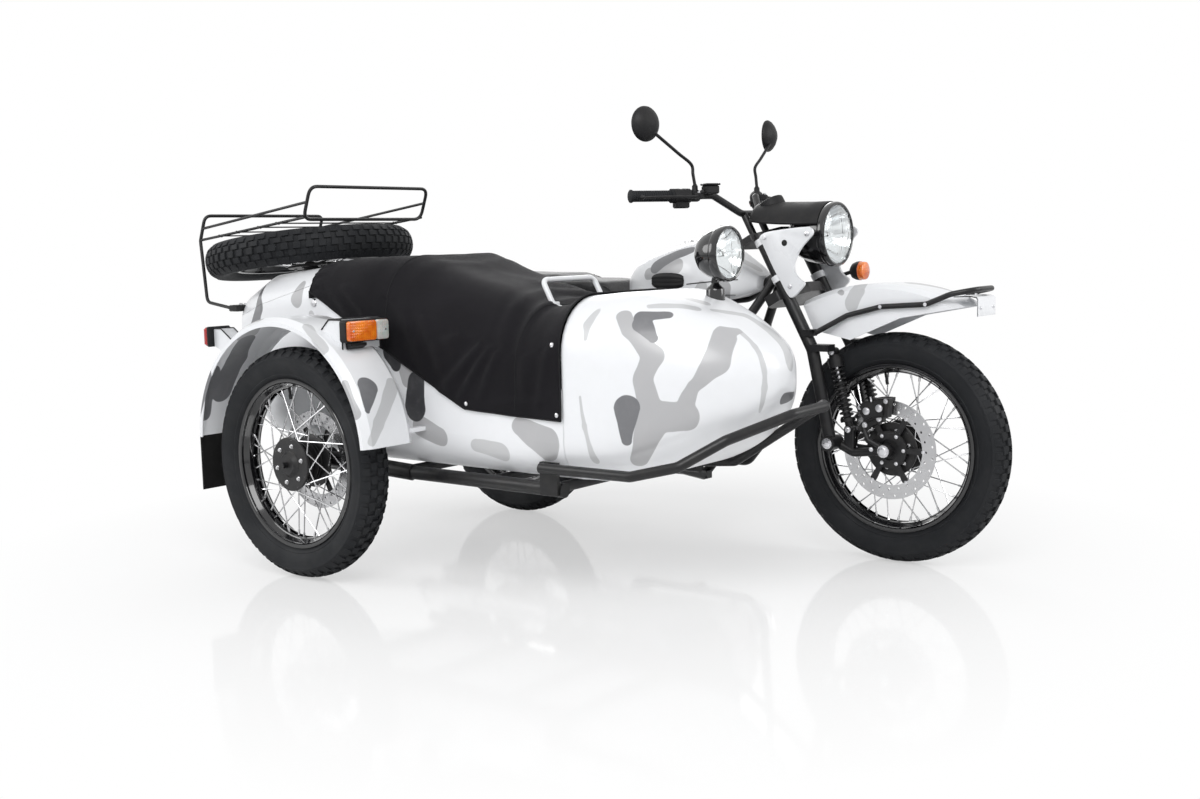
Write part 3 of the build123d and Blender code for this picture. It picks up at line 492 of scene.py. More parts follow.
# %% Patches on the tail, the lid and the tub's sides, with painted shade under the cover's hem
TUB_PAINT = camouflage("tub_camouflage_and_shade", [
    (DARK_GREY, (-294, -948, 724, 34), (-250, -958, 795, 24), (-262, -933, 848, 15)),
    (MID_GREY, (-49, -973, 823, 30), (-33, -958, 870, 17)),
    (PALE_GREY, (24, -975, 777, 12), (57, -975, 690, 27)),
    # the darkest strokes are dark patches with painted shade where the cover's hem overhangs the side
    (HEM_SHADE_GREY, (374, -975, 666, 34), (388, -975, 639, 23)),
    (MID_GREY, (420, -975, 660, 38), (440, -975, 603, 32)),
    (HEM_SHADE_GREY, (502, -975, 627, 17), (473, -975, 583, 28)),
    (HEM_SHADE_GREY, (473, -975, 583, 35), (462, -975, 513, 42)),
    (MID_GREY, (478, -975, 460, 29), (560, -975, 430, 30)),
    (MID_GREY, (860, -975, 480, 26), (960, -975, 440, 44)),
    (PALE_GREY, (700, -975, 420, 20), (790, -975, 400, 30)),
    (PALE_GREY, (250, -975, 560, 50), (300, -975, 430, 40)),
    (MID_GREY, (-360, -880, 560, 46), (-300, -930, 640, 30)),
    (DARK_GREY, (-460, -700, 700, 50), (-410, -600, 780, 36)),
    (MID_GREY, (-480, -560, 640, 44), (-430, -460, 600, 56)),
    (MID_GREY, (-330, -640, 860, 56), (-200, -560, 890, 70)),
    (PALE_GREY, (-150, -760, 905, 52), (-60, -840, 900, 40)),
    (DARK_GREY, (-120, -470, 870, 44), (-60, -420, 820, 30)),
    (MID_GREY, (-200, -385, 700, 50), (-80, -378, 620, 66), (60, -375, 540, 34)),
    (DARK_GREY, (140, -375, 700, 52), (240, -375, 640, 34)),
    (PALE_GREY, (240, -375, 460, 44), (420, -375, 520, 56)),
    (MID_GREY, (560, -375, 560, 46), (660, -375, 450, 60)),
    (DARK_GREY, (840, -375, 520, 42), (900, -375, 460, 26)),
])

# %% Patches on the mudguards, the tank and the ears
GUARD_PAINT = camouflage("mudguard_camouflage", [
    (DARK_GREY, (-222, -1135, 544, 39), (-161, -1119, 643, 36), (-100, -1130, 700, 30)),
    (DARK_GREY, (-240, -1190, 480, 24), (-190, -1195, 600, 30)),
    (MID_GREY, (-70, -1150, 720, 34), (60, -1175, 762, 24)),
    (DARK_GREY, (464, -1154, 587, 35), (492, -1183, 527, 9)),
    (MID_GREY, (435, -1212, 601, 10), (475, -1212, 519, 16)),
    (PALE_GREY, (464, -1060, 586, 22), (503, -1155, 488, 19), (512, -1189, 441, 12)),
    (PALE_GREY, (260, -1186, 752, 14), (348, -1208, 698, 17)),
    (MID_GREY, (180, -1060, 780, 40), (260, -1040, 750, 26)),
    (PALE_GREY, (1403, -90, 777, 25), (1422, -90, 814, 21), (1428, 0, 832, 30)),
    (MID_GREY, (1359, -83, 813, 10), (1367, -90, 809, 10)),
    (MID_GREY, (1540, 40, 826, 32), (1640, 70, 800, 22)),
    (MID_GREY, (-60, 60, 708, 44), (-180, -40, 690, 60)),
    (DARK_GREY, (-280, 30, 600, 34), (-330, 60, 540, 50)),
    (PALE_GREY, (-330, -60, 560, 30), (-360, -40, 470, 40)),
])
TANK_PAINT = camouflage("tank_camouflage", [
    (DARK_GREY, (716, -128, 895, 24), (847, -116, 948, 19)),
    (MID_GREY, (684, -123, 872, 21), (809, -148, 894, 27)),
    (MID_GREY, (959, -114, 793, 28), (973, -121, 823, 23)),
    (PALE_GREY, (885, -136, 793, 24), (905, -144, 823, 19)),
    (PALE_GREY, (950, -40, 940, 26), (1018, 3, 877, 20)),
    (MID_GREY, (860, 20, 972, 26), (760, 60, 930, 40)),
    (DARK_GREY, (640, 60, 880, 22), (700, 100, 850, 34)),
    (MID_GREY, (900, 130, 900, 34), (970, 118, 850, 22)),
])

# %% [markdown]
# ## Lamp lenses
# A clear lens is glass with a plain transmission weight; its flutes are modelled. An amber
# or red lens is moulded acrylic: colour lives in the plastic, and rows of little prisms on
# its back catch the light, which a fine bump in two directions shows well enough.

# %% Glass and coloured lenses
def clear_glass(name):
    material, tree, shader = new_material(name)
    film = tree.noise(tree.place(), 18.0)
    tree.feed(shader, {
        "Base Color": tree.mix(film, (0.96, 0.98, 0.98), (0.99, 1.0, 1.0)),
        "Roughness": tree.remap(film, 0.3, 0.7, 0.0, 0.03),
        "Transmission Weight": 1.0, "IOR": 1.45,
    })
    return material


def prism_lens(name, deep, bright, pitch=0.004):
    """Coloured acrylic with small square prisms."""
    material, tree, shader = new_material(name)
    place = tree.place()
    axis = tree.node("SeparateXYZ", {0: place}).outputs
    rows = tree.math("PINGPONG", axis["Z"], pitch)
    columns = tree.math("PINGPONG", tree.math("ADD", axis["X"], axis["Y"]), pitch)
    prism = tree.math("MINIMUM", rows, columns)
    tree.feed(shader, {
        "Base Color": tree.mix(tree.remap(tree.noise(place, 22.0), 0.35, 0.65), deep, bright),
        "Roughness": tree.remap(prism, 0.0, pitch, 0.12, 0.2),
        "Normal": tree.bump(tree.math("DIVIDE", prism, pitch), 0.5, 0.002),
        "Coat Weight": 1.0, "Coat Roughness": 0.04, "Subsurface Weight": 0.3,
    })
    return material


GLASS = clear_glass("lens_glass")
AMBER = prism_lens("amber_lens", (0.62, 0.10, 0.008), (0.95, 0.25, 0.015))
RED = prism_lens("red_lens", (0.28, 0.006, 0.006), (0.55, 0.015, 0.012))
FROST = prism_lens("frosted_lens", (0.45, 0.44, 0.42), (0.62, 0.61, 0.58))

# %% [markdown]
# ## Leather and canvas
# Saddle vinyl has rounded pebbles a millimetre or two across, which is what a Voronoi
# pattern draws when its distance is turned into height. Canvas is two sets of threads:
# ridges along one direction where the other set passes under, and the reverse. Both sheen
# and threads are needed, or black cloth reads as black plastic.

# %% Vinyl and canvas
def vinyl(name, colour):
    material, tree, shader = new_material(name)
    pebble = tree.node(
        "TexVoronoi", {"Vector": tree.place(), "Scale": 520.0}, feature="SMOOTH_F1",
    ).outputs["Distance"]
    worn = tree.node("Group", {"Colour": colour, "Dust": (0.05, 0.05, 0.05), "Amount": 0.3}, node_tree=DUST)
    tree.feed(shader, {
        "Base Color": worn.outputs["Colour"],
        "Roughness": tree.remap(pebble, 0.0, 0.8, 0.36, 0.58),
        "Normal": tree.bump(tree.math("SUBTRACT", 1.0, pebble), 0.35, 0.0012),
        "Specular IOR Level": 0.35,
    })
    return material


def canvas(name, colour, threads=620.0):
    """Woven cloth; threads is how many lie side by side in a metre."""
    material, tree, shader = new_material(name)
    place = tree.place()
    axis = tree.node("SeparateXYZ", {0: place}).outputs
    warp = tree.math("SINE", tree.math("MULTIPLY", axis["X"], threads * 2 * pi))
    across = tree.math("ADD", axis["Y"], axis["Z"])
    weft = tree.math("SINE", tree.math("MULTIPLY", across, threads * 2 * pi))
    weave = tree.math("MULTIPLY", warp, weft)
    worn = tree.remap(tree.noise(place, 5.0, 6.0), 0.4, 0.75, 0.0, 0.6)
    faded = tuple(min(1.0, c * 1.6 + 0.002) for c in colour)
    tree.feed(shader, {
        "Base Color": tree.mix(worn, colour, faded),
        "Roughness": tree.remap(weave, -1.0, 1.0, 0.62, 0.8),
        "Normal": tree.bump(weave, 0.35, 0.0006),
        "Specular IOR Level": 0.1, "Sheen Weight": 0.04, "Sheen Roughness": 0.5,
    })
    return material


SADDLE = vinyl("saddle_vinyl", (0.010, 0.010, 0.011))
CANVAS = canvas("black_canvas", (0.0050, 0.0045, 0.0062))
THREAD = canvas("hem_tape", (0.011, 0.011, 0.012), 900.0)
print("materials:", len(bpy.data.materials))

# %% [markdown]
# ## Tools for making pieces
# Turned, swept and pressed parts come from a few builders that collect vertices and faces
# into one mesh. A lathe turns a profile about the Y axis, a tube follows a smooth path, and
# a bolt is a hexagon with a chamfered head. One mesh per piece keeps the outliner short.

# %% A collector of vertices and faces
class Shape:
    """Vertices and faces of one piece, in metres, with a material slot for each face."""

    def __init__(self):
        self.verts = []
        self.faces = []
        self.slots = []

    def add(self, verts, faces, slot=0):
        base = len(self.verts)
        self.verts.extend(tuple(v) for v in verts)
        self.faces.extend(tuple(base + i for i in face) for face in faces)
        self.slots.extend([slot] * len(faces))

    def cap(self, count, back=None, slot=0, flip=False):
        """One face over count points in a ring that starts back points before the last one."""
        first = len(self.verts) - (back or count)
        ring = tuple(range(first, first + count))
        self.faces.append(ring[::-1] if flip else ring)
        self.slots.append(slot)

    def grid(self, rows, slot=0, close_rows=False, close_columns=False):
        """Quads between neighbouring rows of points."""
        n = len(rows[0])
        faces = []
        for i in range(len(rows) if close_rows else len(rows) - 1):
            for j in range(n if close_columns else n - 1):
                a, b = i * n, (i + 1) % len(rows) * n
                faces.append((a + j, a + (j + 1) % n, b + (j + 1) % n, b + j))
        self.add([v for row in rows for v in row], faces, slot)

    def lathe(self, profile, place, steps=64, slot=0, closed=False):
        """(radius, y) points in millimetres, turned about Y and put in place by a matrix."""
        rows = []
        for i in range(steps):
            turn = 2 * pi * i / steps
            rows.append(
                [place @ Vector((r * cos(turn) * MM, y * MM, r * sin(turn) * MM)) for r, y in profile]
            )
        self.grid(rows, slot, close_rows=True, close_columns=closed)

    def tube(self, points, radius, sides=10, slot=0, caps=True, closed=False):
        """A round tube along points in metres; radius in millimetres, one or one a point."""
        points = [Vector(p) for p in points]
        count = len(points)
        radii = [radius] * count if isinstance(radius, (int, float)) else list(radius)
        rows = []
        normal = None
        for i, point in enumerate(points):
            if closed:
                way = (points[(i + 1) % count] - points[i - 1]).normalized()
            else:
                way = (points[min(i + 1, count - 1)] - points[max(i - 1, 0)]).normalized()
            if normal is None:
                normal = way.orthogonal().normalized()
            normal = (normal - way * normal.dot(way)).normalized()
            side = way.cross(normal)
            ring = []
            for j in range(sides):
                turn = 2 * pi * j / sides
                ring.append(point + (normal * cos(turn) + side * sin(turn)) * radii[i] * MM)
            rows.append(ring)
        self.grid(rows, slot, close_rows=closed, close_columns=True)
        if caps and not closed:
            self.cap(sides, count * sides, slot, flip=True)
            self.cap(sides, slot=slot)

    def bolt(self, head, way, radius, height, slot=0, sides=6):
        """A bolt head standing on head, pointing along way; sizes in millimetres."""
        head, way = Vector(head), Vector(way).normalized()
        side = way.orthogonal().normalized()
        other = way.cross(side)
        rows = []
        for grow, lift in ((1.25, 0.0), (1.25, 0.22), (1.0, 0.24), (1.0, 0.86), (0.82, 1.0), (0.3, 1.0)):
            ring = []
            for j in range(sides * 2):
                turn = pi * j / sides
                flat = 1.0 if j % 2 == 0 or grow > 1.1 else cos(pi / sides) * 1.02
                ring.append(
                    head + (side * cos(turn) + other * sin(turn)) * radius * grow * flat * MM
                    + way * height * lift * MM
                )
            rows.append(ring)
        self.grid(rows, slot, close_columns=True)
        self.cap(sides * 2, slot=slot)

    def block(self, low, high, slot=0, bevel=1.5, place=Matrix.Identity(4)):
        """A box with chamfered edges, corners in metres, chamfer in millimetres."""
        low, high = Vector(low), Vector(high)
        b = min(bevel * MM, *(0.45 * (high[i] - low[i]) for i in range(3)))
        rows = []
        for z, inset in ((low.z, b), (low.z + b, 0.0), (high.z - b, 0.0), (high.z, b)):
            x0, x1, y0, y1 = low.x + inset, high.x - inset, low.y + inset, high.y - inset
            c = b if inset == 0.0 else b * 0.4
            ring = [
                (x0 + c, y0), (x1 - c, y0), (x1, y0 + c), (x1, y1 - c), (x1 - c, y1), (x0 + c, y1),
                (x0, y1 - c), (x0, y0 + c),
            ]
            rows.append([place @ Vector((x, y, z)) for x, y in ring])
        self.grid(rows, slot, close_columns=True)
        self.cap(8, 32, slot, flip=True)
        self.cap(8, slot=slot)

    def box(self, xs, ys, zs, slot=0, bevel=1.5):
        """A block between two places along each axis, in the outfit's millimetres."""
        low, high = zip(*(sorted(span) for span in (xs, ys, zs)))
        self.block(at(*low), at(*high), slot, bevel)

    def mesh(self, name, *materials, sharp=35.0):
        mesh = bpy.data.meshes.new(name)
        mesh.from_pydata(self.verts, [], self.faces)
        for material in materials:
            mesh.materials.append(material)
        mesh.polygons.foreach_set("material_index", self.slots)
        tidy = bmesh.new()
        tidy.from_mesh(mesh)
        bmesh.ops.remove_doubles(tidy, verts=tidy.verts, dist=0.00001)
        bmesh.ops.recalc_face_normals(tidy, faces=tidy.faces)
        tidy.to_mesh(mesh)
        tidy.free()
        mesh.polygons.foreach_set("use_smooth", [True] * len(mesh.polygons))
        mesh.set_sharp_from_angle(angle=radians(sharp))
        return mesh


FACING = {
    # the way a lathe's axis points: turn, and about which axis (1 and -1 are left and right)
    1: (0.0, "Z"), -1: (pi, "Z"), "ahead": (-pi / 2, "Z"), "back": (pi / 2, "Z"),
    "up": (pi / 2, "X"),
}


def facing(way, place):
    """A matrix that stands a lathe at a place (in metres), its axis pointing one way."""
    turn, axis = FACING[way]
    return Matrix.Translation(place) @ Matrix.Rotation(turn, 4, axis)


def stand(name, mesh, body, slot, *replaced, place=None):
    """Puts a finished mesh in the scene on its body, for the nodes it replaces."""
    piece = bpy.data.objects.new(name, mesh)
    if place is not None:
        piece.matrix_world = place
    bpy.context.scene.collection.objects.link(piece)
    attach(piece, body)
    if replaced:
        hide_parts(*replaced)
    return piece


def give_wall(piece, name, thickness, offset=-1.0):
    """Gives a sheet its thickness: inwards from the drawn face, or both ways with offset 0."""
    wall = piece.modifiers.new(name, "SOLIDIFY")
    wall.thickness = thickness
    wall.offset = offset


def smooth_path(points, per_span=8):
    """Points along a Catmull-Rom curve through given points, in metres."""
    points = [Vector(p) for p in points]
    ends = [points[0] * 2 - points[1]] + points + [points[-1] * 2 - points[-2]]
    path = []
    for i in range(1, len(ends) - 2):
        a, b, c, d = ends[i - 1], ends[i], ends[i + 1], ends[i + 2]
        for j in range(per_span):
            t = j / per_span
            path.append(
                0.5
                * (
                    2 * b + (c - a) * t + (2 * a - 5 * b + 4 * c - d) * t * t
                    + (3 * b - a - 3 * c + d) * t ** 3
                )
            )
    path.append(points[-1])
    return path


print("builders ready")

# %% [markdown]
# ## Wheels
# All four wheels are alike, so that the spare fits anywhere: a rolled steel rim, forty
# butted spokes in two layers, and a cast hub. The spokes cross twice, which is what lets
# them carry a sidecar's side loads. One mesh serves all four.

# %% Places of the wheels
SPARE_TILT = radians(7.0)
WHEELS = {
    # name: (body, matrix from the wheel's own axle to the outfit)
    "front": ("front_wheel_set", Matrix.Translation(at(WHEELBASE, 0, TYRE_R))),
    "rear": ("rear_wheel_set", Matrix.Translation(at(0, 0, TYRE_R))),
    "car": ("car_wheel_set", Matrix.Translation(at(CAR_LEAD, -TRACK, TYRE_R))),
    "spare": (
        "trunk_lid_set",
        facing("up", at(-322.0, CAR_Y, 960.0)) @ Matrix.Rotation(SPARE_TILT, 4, "Z"),
    ),
}
HERE = Matrix.Identity(4)

# %% Rim, spokes and hub
SPOKES = 40
HUB_FLANGE_R = 80.0
WELL_R = 228.0


def wheel_shape():
    shape = Shape()
    top = [
        (242, 36), (247, 37.4), (252.5, 37), (254, 35.4), (252.5, 33), (246.5, 31.6), (243, 30.6),
        (241.5, 20), (231, 14.5), (228.4, 9),
    ]
    under = [(224.2, 9), (226.5, 15.5), (236.2, 20.5), (237.6, 29), (239, 35)]
    loop = top + [(r, -y) for r, y in reversed(top)] + [(r, -y) for r, y in under] + list(reversed(under))
    shape.lathe(loop, HERE, 120, 0, closed=True)
    for i in range(SPOKES):
        side = 1 if i % 2 else -1
        turn = 2 * pi * i / SPOKES
        lace = radians(62.0) * (1 if (i // 2) % 2 else -1)
        hub_r = HUB_FLANGE_R - 8.0
        start = mm(hub_r * cos(turn + lace), side * 42.0, hub_r * sin(turn + lace))
        end = mm((WELL_R - 3) * cos(turn), side * 5.0, (WELL_R - 3) * sin(turn))
        way = (end - start).normalized()
        shape.tube([start, end - way * 0.012], 2.0, 8, 1)
        shape.tube([end - way * 0.014, end - way * 0.001, end + way * 0.003], [3.4, 3.4, 4.4], 8, 1)
        shape.tube([start - way * 0.004, start + way * 0.002], 3.6, 8, 1)
    hub = [
        (9.2, 58), (30, 58), (33, 55), (36, 50), (40, 46.5), (78, 46), (80, 44.5), (80, 39.5), (78, 38),
        (50, 36), (44, 30),
    ]
    for fin in (22, 11):
        hub += [(44, fin + 3), (62, fin + 2), (62, fin - 1), (44, fin - 2)]
    hub += [(44, 0)]
    hub_loop = hub + [(r, -y) for r, y in reversed(hub)]
    shape.lathe(hub_loop, HERE, 72, 2, closed=True)
    for side in (-1, 1):
        for i in range(6):
            turn = radians(60.0 * i + 15.0)
            head = mm(56 * cos(turn), side * 46.4, 56 * sin(turn))
            shape.bolt(head, (0, side, 0), 5.5, 6.0, 1)
    valve = radians(101.0)
    foot = Vector((cos(valve), 0, sin(valve)))
    shape.tube([foot * 0.224, foot * 0.205, foot * 0.203, foot * 0.190], [4.2, 4.0, 5.2, 5.0], 10, 3)
    return shape.mesh("wire_wheel", BLACK_GLOSS, STEEL, BLACK_ALLOY, BLACK_PLASTIC)


wheel_mesh = wheel_shape()
for wheel, (body, place) in WHEELS.items():
    stand(wheel + "_wire_wheel", wheel_mesh, body, "black_paint", wheel + "_wheel", place=place)
print("wheel faces:", len(wheel_mesh.polygons))

# %% [markdown]
# ## Tyres
# A block-tread tyre grips gravel and snow. Its carcass is turned from a profile with a
# scuff rib and a rim protector, and the blocks are separate chamfered lumps in five rows,
# each row shifted by half a pitch. Real blocks differ a little in height and wear, so a
# seeded noise nudges them.

# %% Carcass and tread blocks
TREAD_PITCHES = 54
CROWN = [
    (0.0, 345.0), (12.0, 344.6), (24.0, 341.2), (36.0, 336.0), (44.0, 329.0), (50.0, 320.0), (53.0, 312.0),
]
TREAD_ROWS = [
    # across from, across to, shift in pitches, length in pitches
    (-49.0, -33.0, 0.0, 0.60),
    (-30.0, -13.5, 0.5, 0.62),
    (-10.5, 10.5, 0.0, 0.58),
    (13.5, 30.0, 0.5, 0.62),
    (33.0, 49.0, 0.0, 0.60),
]


def crown_radius(y):
    across = [abs(p[0]) for p in CROWN]
    return float(np.interp(abs(y), across, [p[1] for p in CROWN]))


def tyre_shape():
    shape = Shape()
    half = [
        (243.6, 30), (252, 32), (256.5, 33.5), (259, 37), (262, 40), (266, 42.5), (268, 41.8), (276, 47),
        (290, 51.6), (303, 53.0),
    ]
    half += [
        (309, 52.8), (311, 53.6), (315, 53.4), (317, 51.6), (322, 46.5), (328.5, 38), (334, 26), (337, 13),
        (338, 0),
    ]
    outer = half + [(r, -y) for r, y in reversed(half[:-1])]
    inner = [
        (246, -26), (262, -34), (290, -43), (315, -42), (329, -10), (329, 10), (315, 42), (290, 43),
        (262, 34), (246, 26),
    ]
    shape.lathe(outer + inner, HERE, 216, 0, closed=True)
    pitch = 2 * pi / TREAD_PITCHES
    for row, (y0, y1, shift, length) in enumerate(TREAD_ROWS):
        for i in range(TREAD_PITCHES):
            middle = (i + shift) * pitch
            wear = 0.5 * noise.noise(Vector((i * 0.7, row * 3.1, 0.0)))
            half_turn = 0.5 * length * pitch
            rings = []
            for grow, lift in ((1.06, -10.0), (1.0, -1.6), (0.88, 0.0)):
                ring = []
                for t, y in (
                    (-1, y0), (0, y0), (1, y0), (1, (y0 + y1) / 2), (1, y1), (0, y1), (-1, y1),
                    (-1, (y0 + y1) / 2),
                ):
                    y_here = (y0 + y1) / 2 + (y - (y0 + y1) / 2) * grow
                    skew = 0.10 * pitch * (y_here / 50.0) * (1 if row % 2 else -1)
                    turn = middle + t * half_turn * grow + skew
                    r = crown_radius(y_here) + lift - 0.4 + min(wear, 0.0)
                    ring.append(mm(r * cos(turn), y_here, r * sin(turn)))
                rings.append(ring)
            shape.grid(rings, 0, close_columns=True)
            shape.cap(8)
    return shape.mesh("block_tread_tyre", RUBBER, sharp=28.0)


tyre_mesh = tyre_shape()
for wheel, (body, place) in WHEELS.items():
    stand(wheel + "_block_tyre", tyre_mesh, body, "tread_rubber", wheel + "_tyre", place=place)
print("tyre faces:", len(tyre_mesh.polygons))

# %% [markdown]
# ## Nose of the sidecar
# The nose is one pressed steel shell whose section shrinks and rounds off towards the tip.
# A subdivision surface could make it, but its corners would be hard to place. Sections
# measured along the car, joined by a smooth curve through each of their sizes, keep every
# corner where the panel has it, and a Solidify modifier gives the sheet its thickness.

# %% Smooth lofts through rounded rectangles
def eased(table, column, x):
    """A smooth curve through one column of a table of sections, at x."""
    xs = [row[0] for row in table]
    vs = [row[column] for row in table]
    i = int(np.clip(np.searchsorted(xs, x) - 1, 0, len(xs) - 2))
    slopes = []
    for k in (i, i + 1):
        if k == 0 or k == len(xs) - 1:
            a, b = (0, 1) if k == 0 else (len(xs) - 2, len(xs) - 1)
        else:
            a, b = k - 1, k + 1
        slopes.append((vs[b] - vs[a]) / (xs[b] - xs[a]))
    run = xs[i + 1] - xs[i]
    t = (x - xs[i]) / run
    return (
        (2 * t**3 - 3 * t**2 + 1) * vs[i] + (t**3 - 2 * t**2 + t) * run * slopes[0]
        + (3 * t**2 - 2 * t**3) * vs[i + 1] + (t**3 - t**2) * run * slopes[1]
    )


def ring(x, middle_y, low, high, half, top_r, low_r, arc_steps=9, side_steps=8):
    """Points round an upright rounded rectangle at x, from the lower right corner upwards."""
    corners = [
        (half - low_r, low + low_r, low_r, 270), (half - top_r, high - top_r, top_r, 0),
        (-half + top_r, high - top_r, top_r, 90), (-half + low_r, low + low_r, low_r, 180),
    ]
    points = []
    for i, (cy, cz, r, start) in enumerate(corners):
        arc = [
            (
                cy + r * cos(radians(start + 90 * k / arc_steps)),
                cz + r * sin(radians(start + 90 * k / arc_steps)),
            )
            for k in range(arc_steps + 1)
        ]
        ny, nz, nr, begin = corners[(i + 1) % 4]
        after = (ny + nr * cos(radians(begin)), nz + nr * sin(radians(begin)))
        points += arc
        points += [
            (
                arc[-1][0] + (after[0] - arc[-1][0]) * k / side_steps,
                arc[-1][1] + (after[1] - arc[-1][1]) * k / side_steps,
            )
            for k in range(1, side_steps)
        ]
    return [at(x, middle_y + y, z) for y, z in points]


def loft_rows(table, middle_y, stations):
    rows = []
    for x in stations:
        low, high, half, top_r, low_r = (eased(table, column, x) for column in range(1, 6))
        rows.append(ring(x, middle_y, low, high, half, top_r, low_r))
    return rows

# %% The nose shell
NOSE = [
    # x, low z, high z, half width, top corners' radius, low corners' radius
    (1018.0, 335.0, 832.0, 300.0, 150.0, 110.0),
    (1180.0, 345.0, 838.0, 286.0, 170.0, 120.0),
    (1350.0, 408.0, 782.0, 228.0, 160.0, 125.0),
    (1460.0, 488.0, 718.0, 148.0, 100.0, 85.0),
    (1502.0, 550.0, 680.0, 84.0, 56.0, 52.0),
    (1516.0, 590.0, 646.0, 36.0, 26.0, 26.0),
]


def nose_shell():
    shape = Shape()
    stations = (
        [1018, 1024] + list(np.linspace(1040, 1440, 26)) + list(np.linspace(1452, 1502, 10))
        + [1507, 1511, 1514, 1516]
    )
    rows = loft_rows(NOSE, CAR_Y, stations)
    tip = sum(rows[-1], Vector()) / len(rows[-1]) + Vector((2.0 * MM, 0, 0))
    shape.grid(rows + [[(p + tip) / 2 + Vector((0.7 * MM, 0, 0)) for p in rows[-1]]], close_columns=True)
    shape.cap(len(rows[0]))
    return shape.mesh("nose_shell", NOSE_PAINT, sharp=50.0)


nose = stand("nose_shell", nose_shell(), "outfit", "white_paint", "nose")
give_wall(nose, "wall", SHEET_METAL)
print("nose faces:", len(nose.data.polygons))

# %% [markdown]
# ## Cloth cover
# A black canvas cover is stretched over the cockpit: over a bow behind the seat, down to
# the rim of the tub, and forward to the nose, held by studs along its hem. Simulation
# would find the folds, but a tight cover has only a few, and their place follows from what
# pulls it, so they are listed one by one: long creases run from the bow and from the grab
# handle to the hem. The rear edge is drawn in by elastic, which ruffles it.

# %% The cover's run and its folds
COVER = [
    # x, low z, high z, half width, top corners' radius, low corners' radius
    (26.0, 335.0, 926.0, 300.0, 110.0, 110.0),
    (120.0, 335.0, 932.0, 300.0, 112.0, 110.0),
    (245.0, 335.0, 940.0, 300.0, 118.0, 110.0),
    (362.0, 335.0, 939.0, 300.0, 170.0, 110.0),
    (520.0, 335.0, 898.0, 300.0, 190.0, 110.0),
    (690.0, 335.0, 852.0, 300.0, 200.0, 110.0),
    (855.0, 335.0, 797.0, 300.0, 180.0, 110.0),
    (940.0, 335.0, 801.0, 300.0, 165.0, 110.0),
    (1020.0, 335.0, 834.0, 300.0, 150.0, 110.0),
]
HEM = [(26.0, 846.0), (300.0, 700.0), (664.0, 520.0), (820.0, 512.0), (1020.0, 506.0)]
CLOTH_OFF = 5.0
FOLD_LIMITS = (-3.5, 7.0)
COVER_BACK, COVER_FRONT = 26.0, 1016.0
RUFFLE_REACH = 60.0
FOLDS = [
    # from (x, height), to (x, height), width and depth in mm: on both sides
    ((120, 915), (330, 720), 20, 5.0),
    ((60, 905), (215, 770), 18, 4.5),
    ((362, 930), (520, 610), 26, 4.0),
    ((430, 905), (620, 560), 22, 3.5),
    ((850, 780), (560, 560), 15, 6.0),
    ((846, 770), (640, 545), 13, 5.5),
    ((852, 760), (720, 560), 14, 4.0),
    ((905, 770), (890, 560), 22, 3.0),
    ((800, 800), (560, 690), 18, 4.0),
    ((760, 815), (500, 800), 20, 3.0),
    ((960, 560), (760, 530), 14, 3.0),
    ((985, 700), (930, 540), 16, 2.5),
]


def hem_height(x):
    return float(np.interp(x, [p[0] for p in HEM], [p[1] for p in HEM]))


def crease(x, z, start, end, width, depth):
    """How far one fold lifts the cloth at (x, z): a rounded ridge with a valley beside it."""
    ax, az, bx, bz = *start, *end
    run = hypot(bx - ax, bz - az)
    along = ((x - ax) * (bx - ax) + (z - az) * (bz - az)) / run**2
    off = ((x - ax) * (bz - az) - (z - az) * (bx - ax)) / run
    fade = max(0.0, min(1.0, (along + 0.12) * 5.0)) * max(0.0, min(1.0, (1.1 - along) * 3.0))
    off += 6.0 * sin(along * 4.0 + ax * 0.1)
    return depth * fade * (
        np.exp(-((off / width) ** 2)) - 0.7 * np.exp(-(((off - 1.5 * width) / width) ** 2))
    )


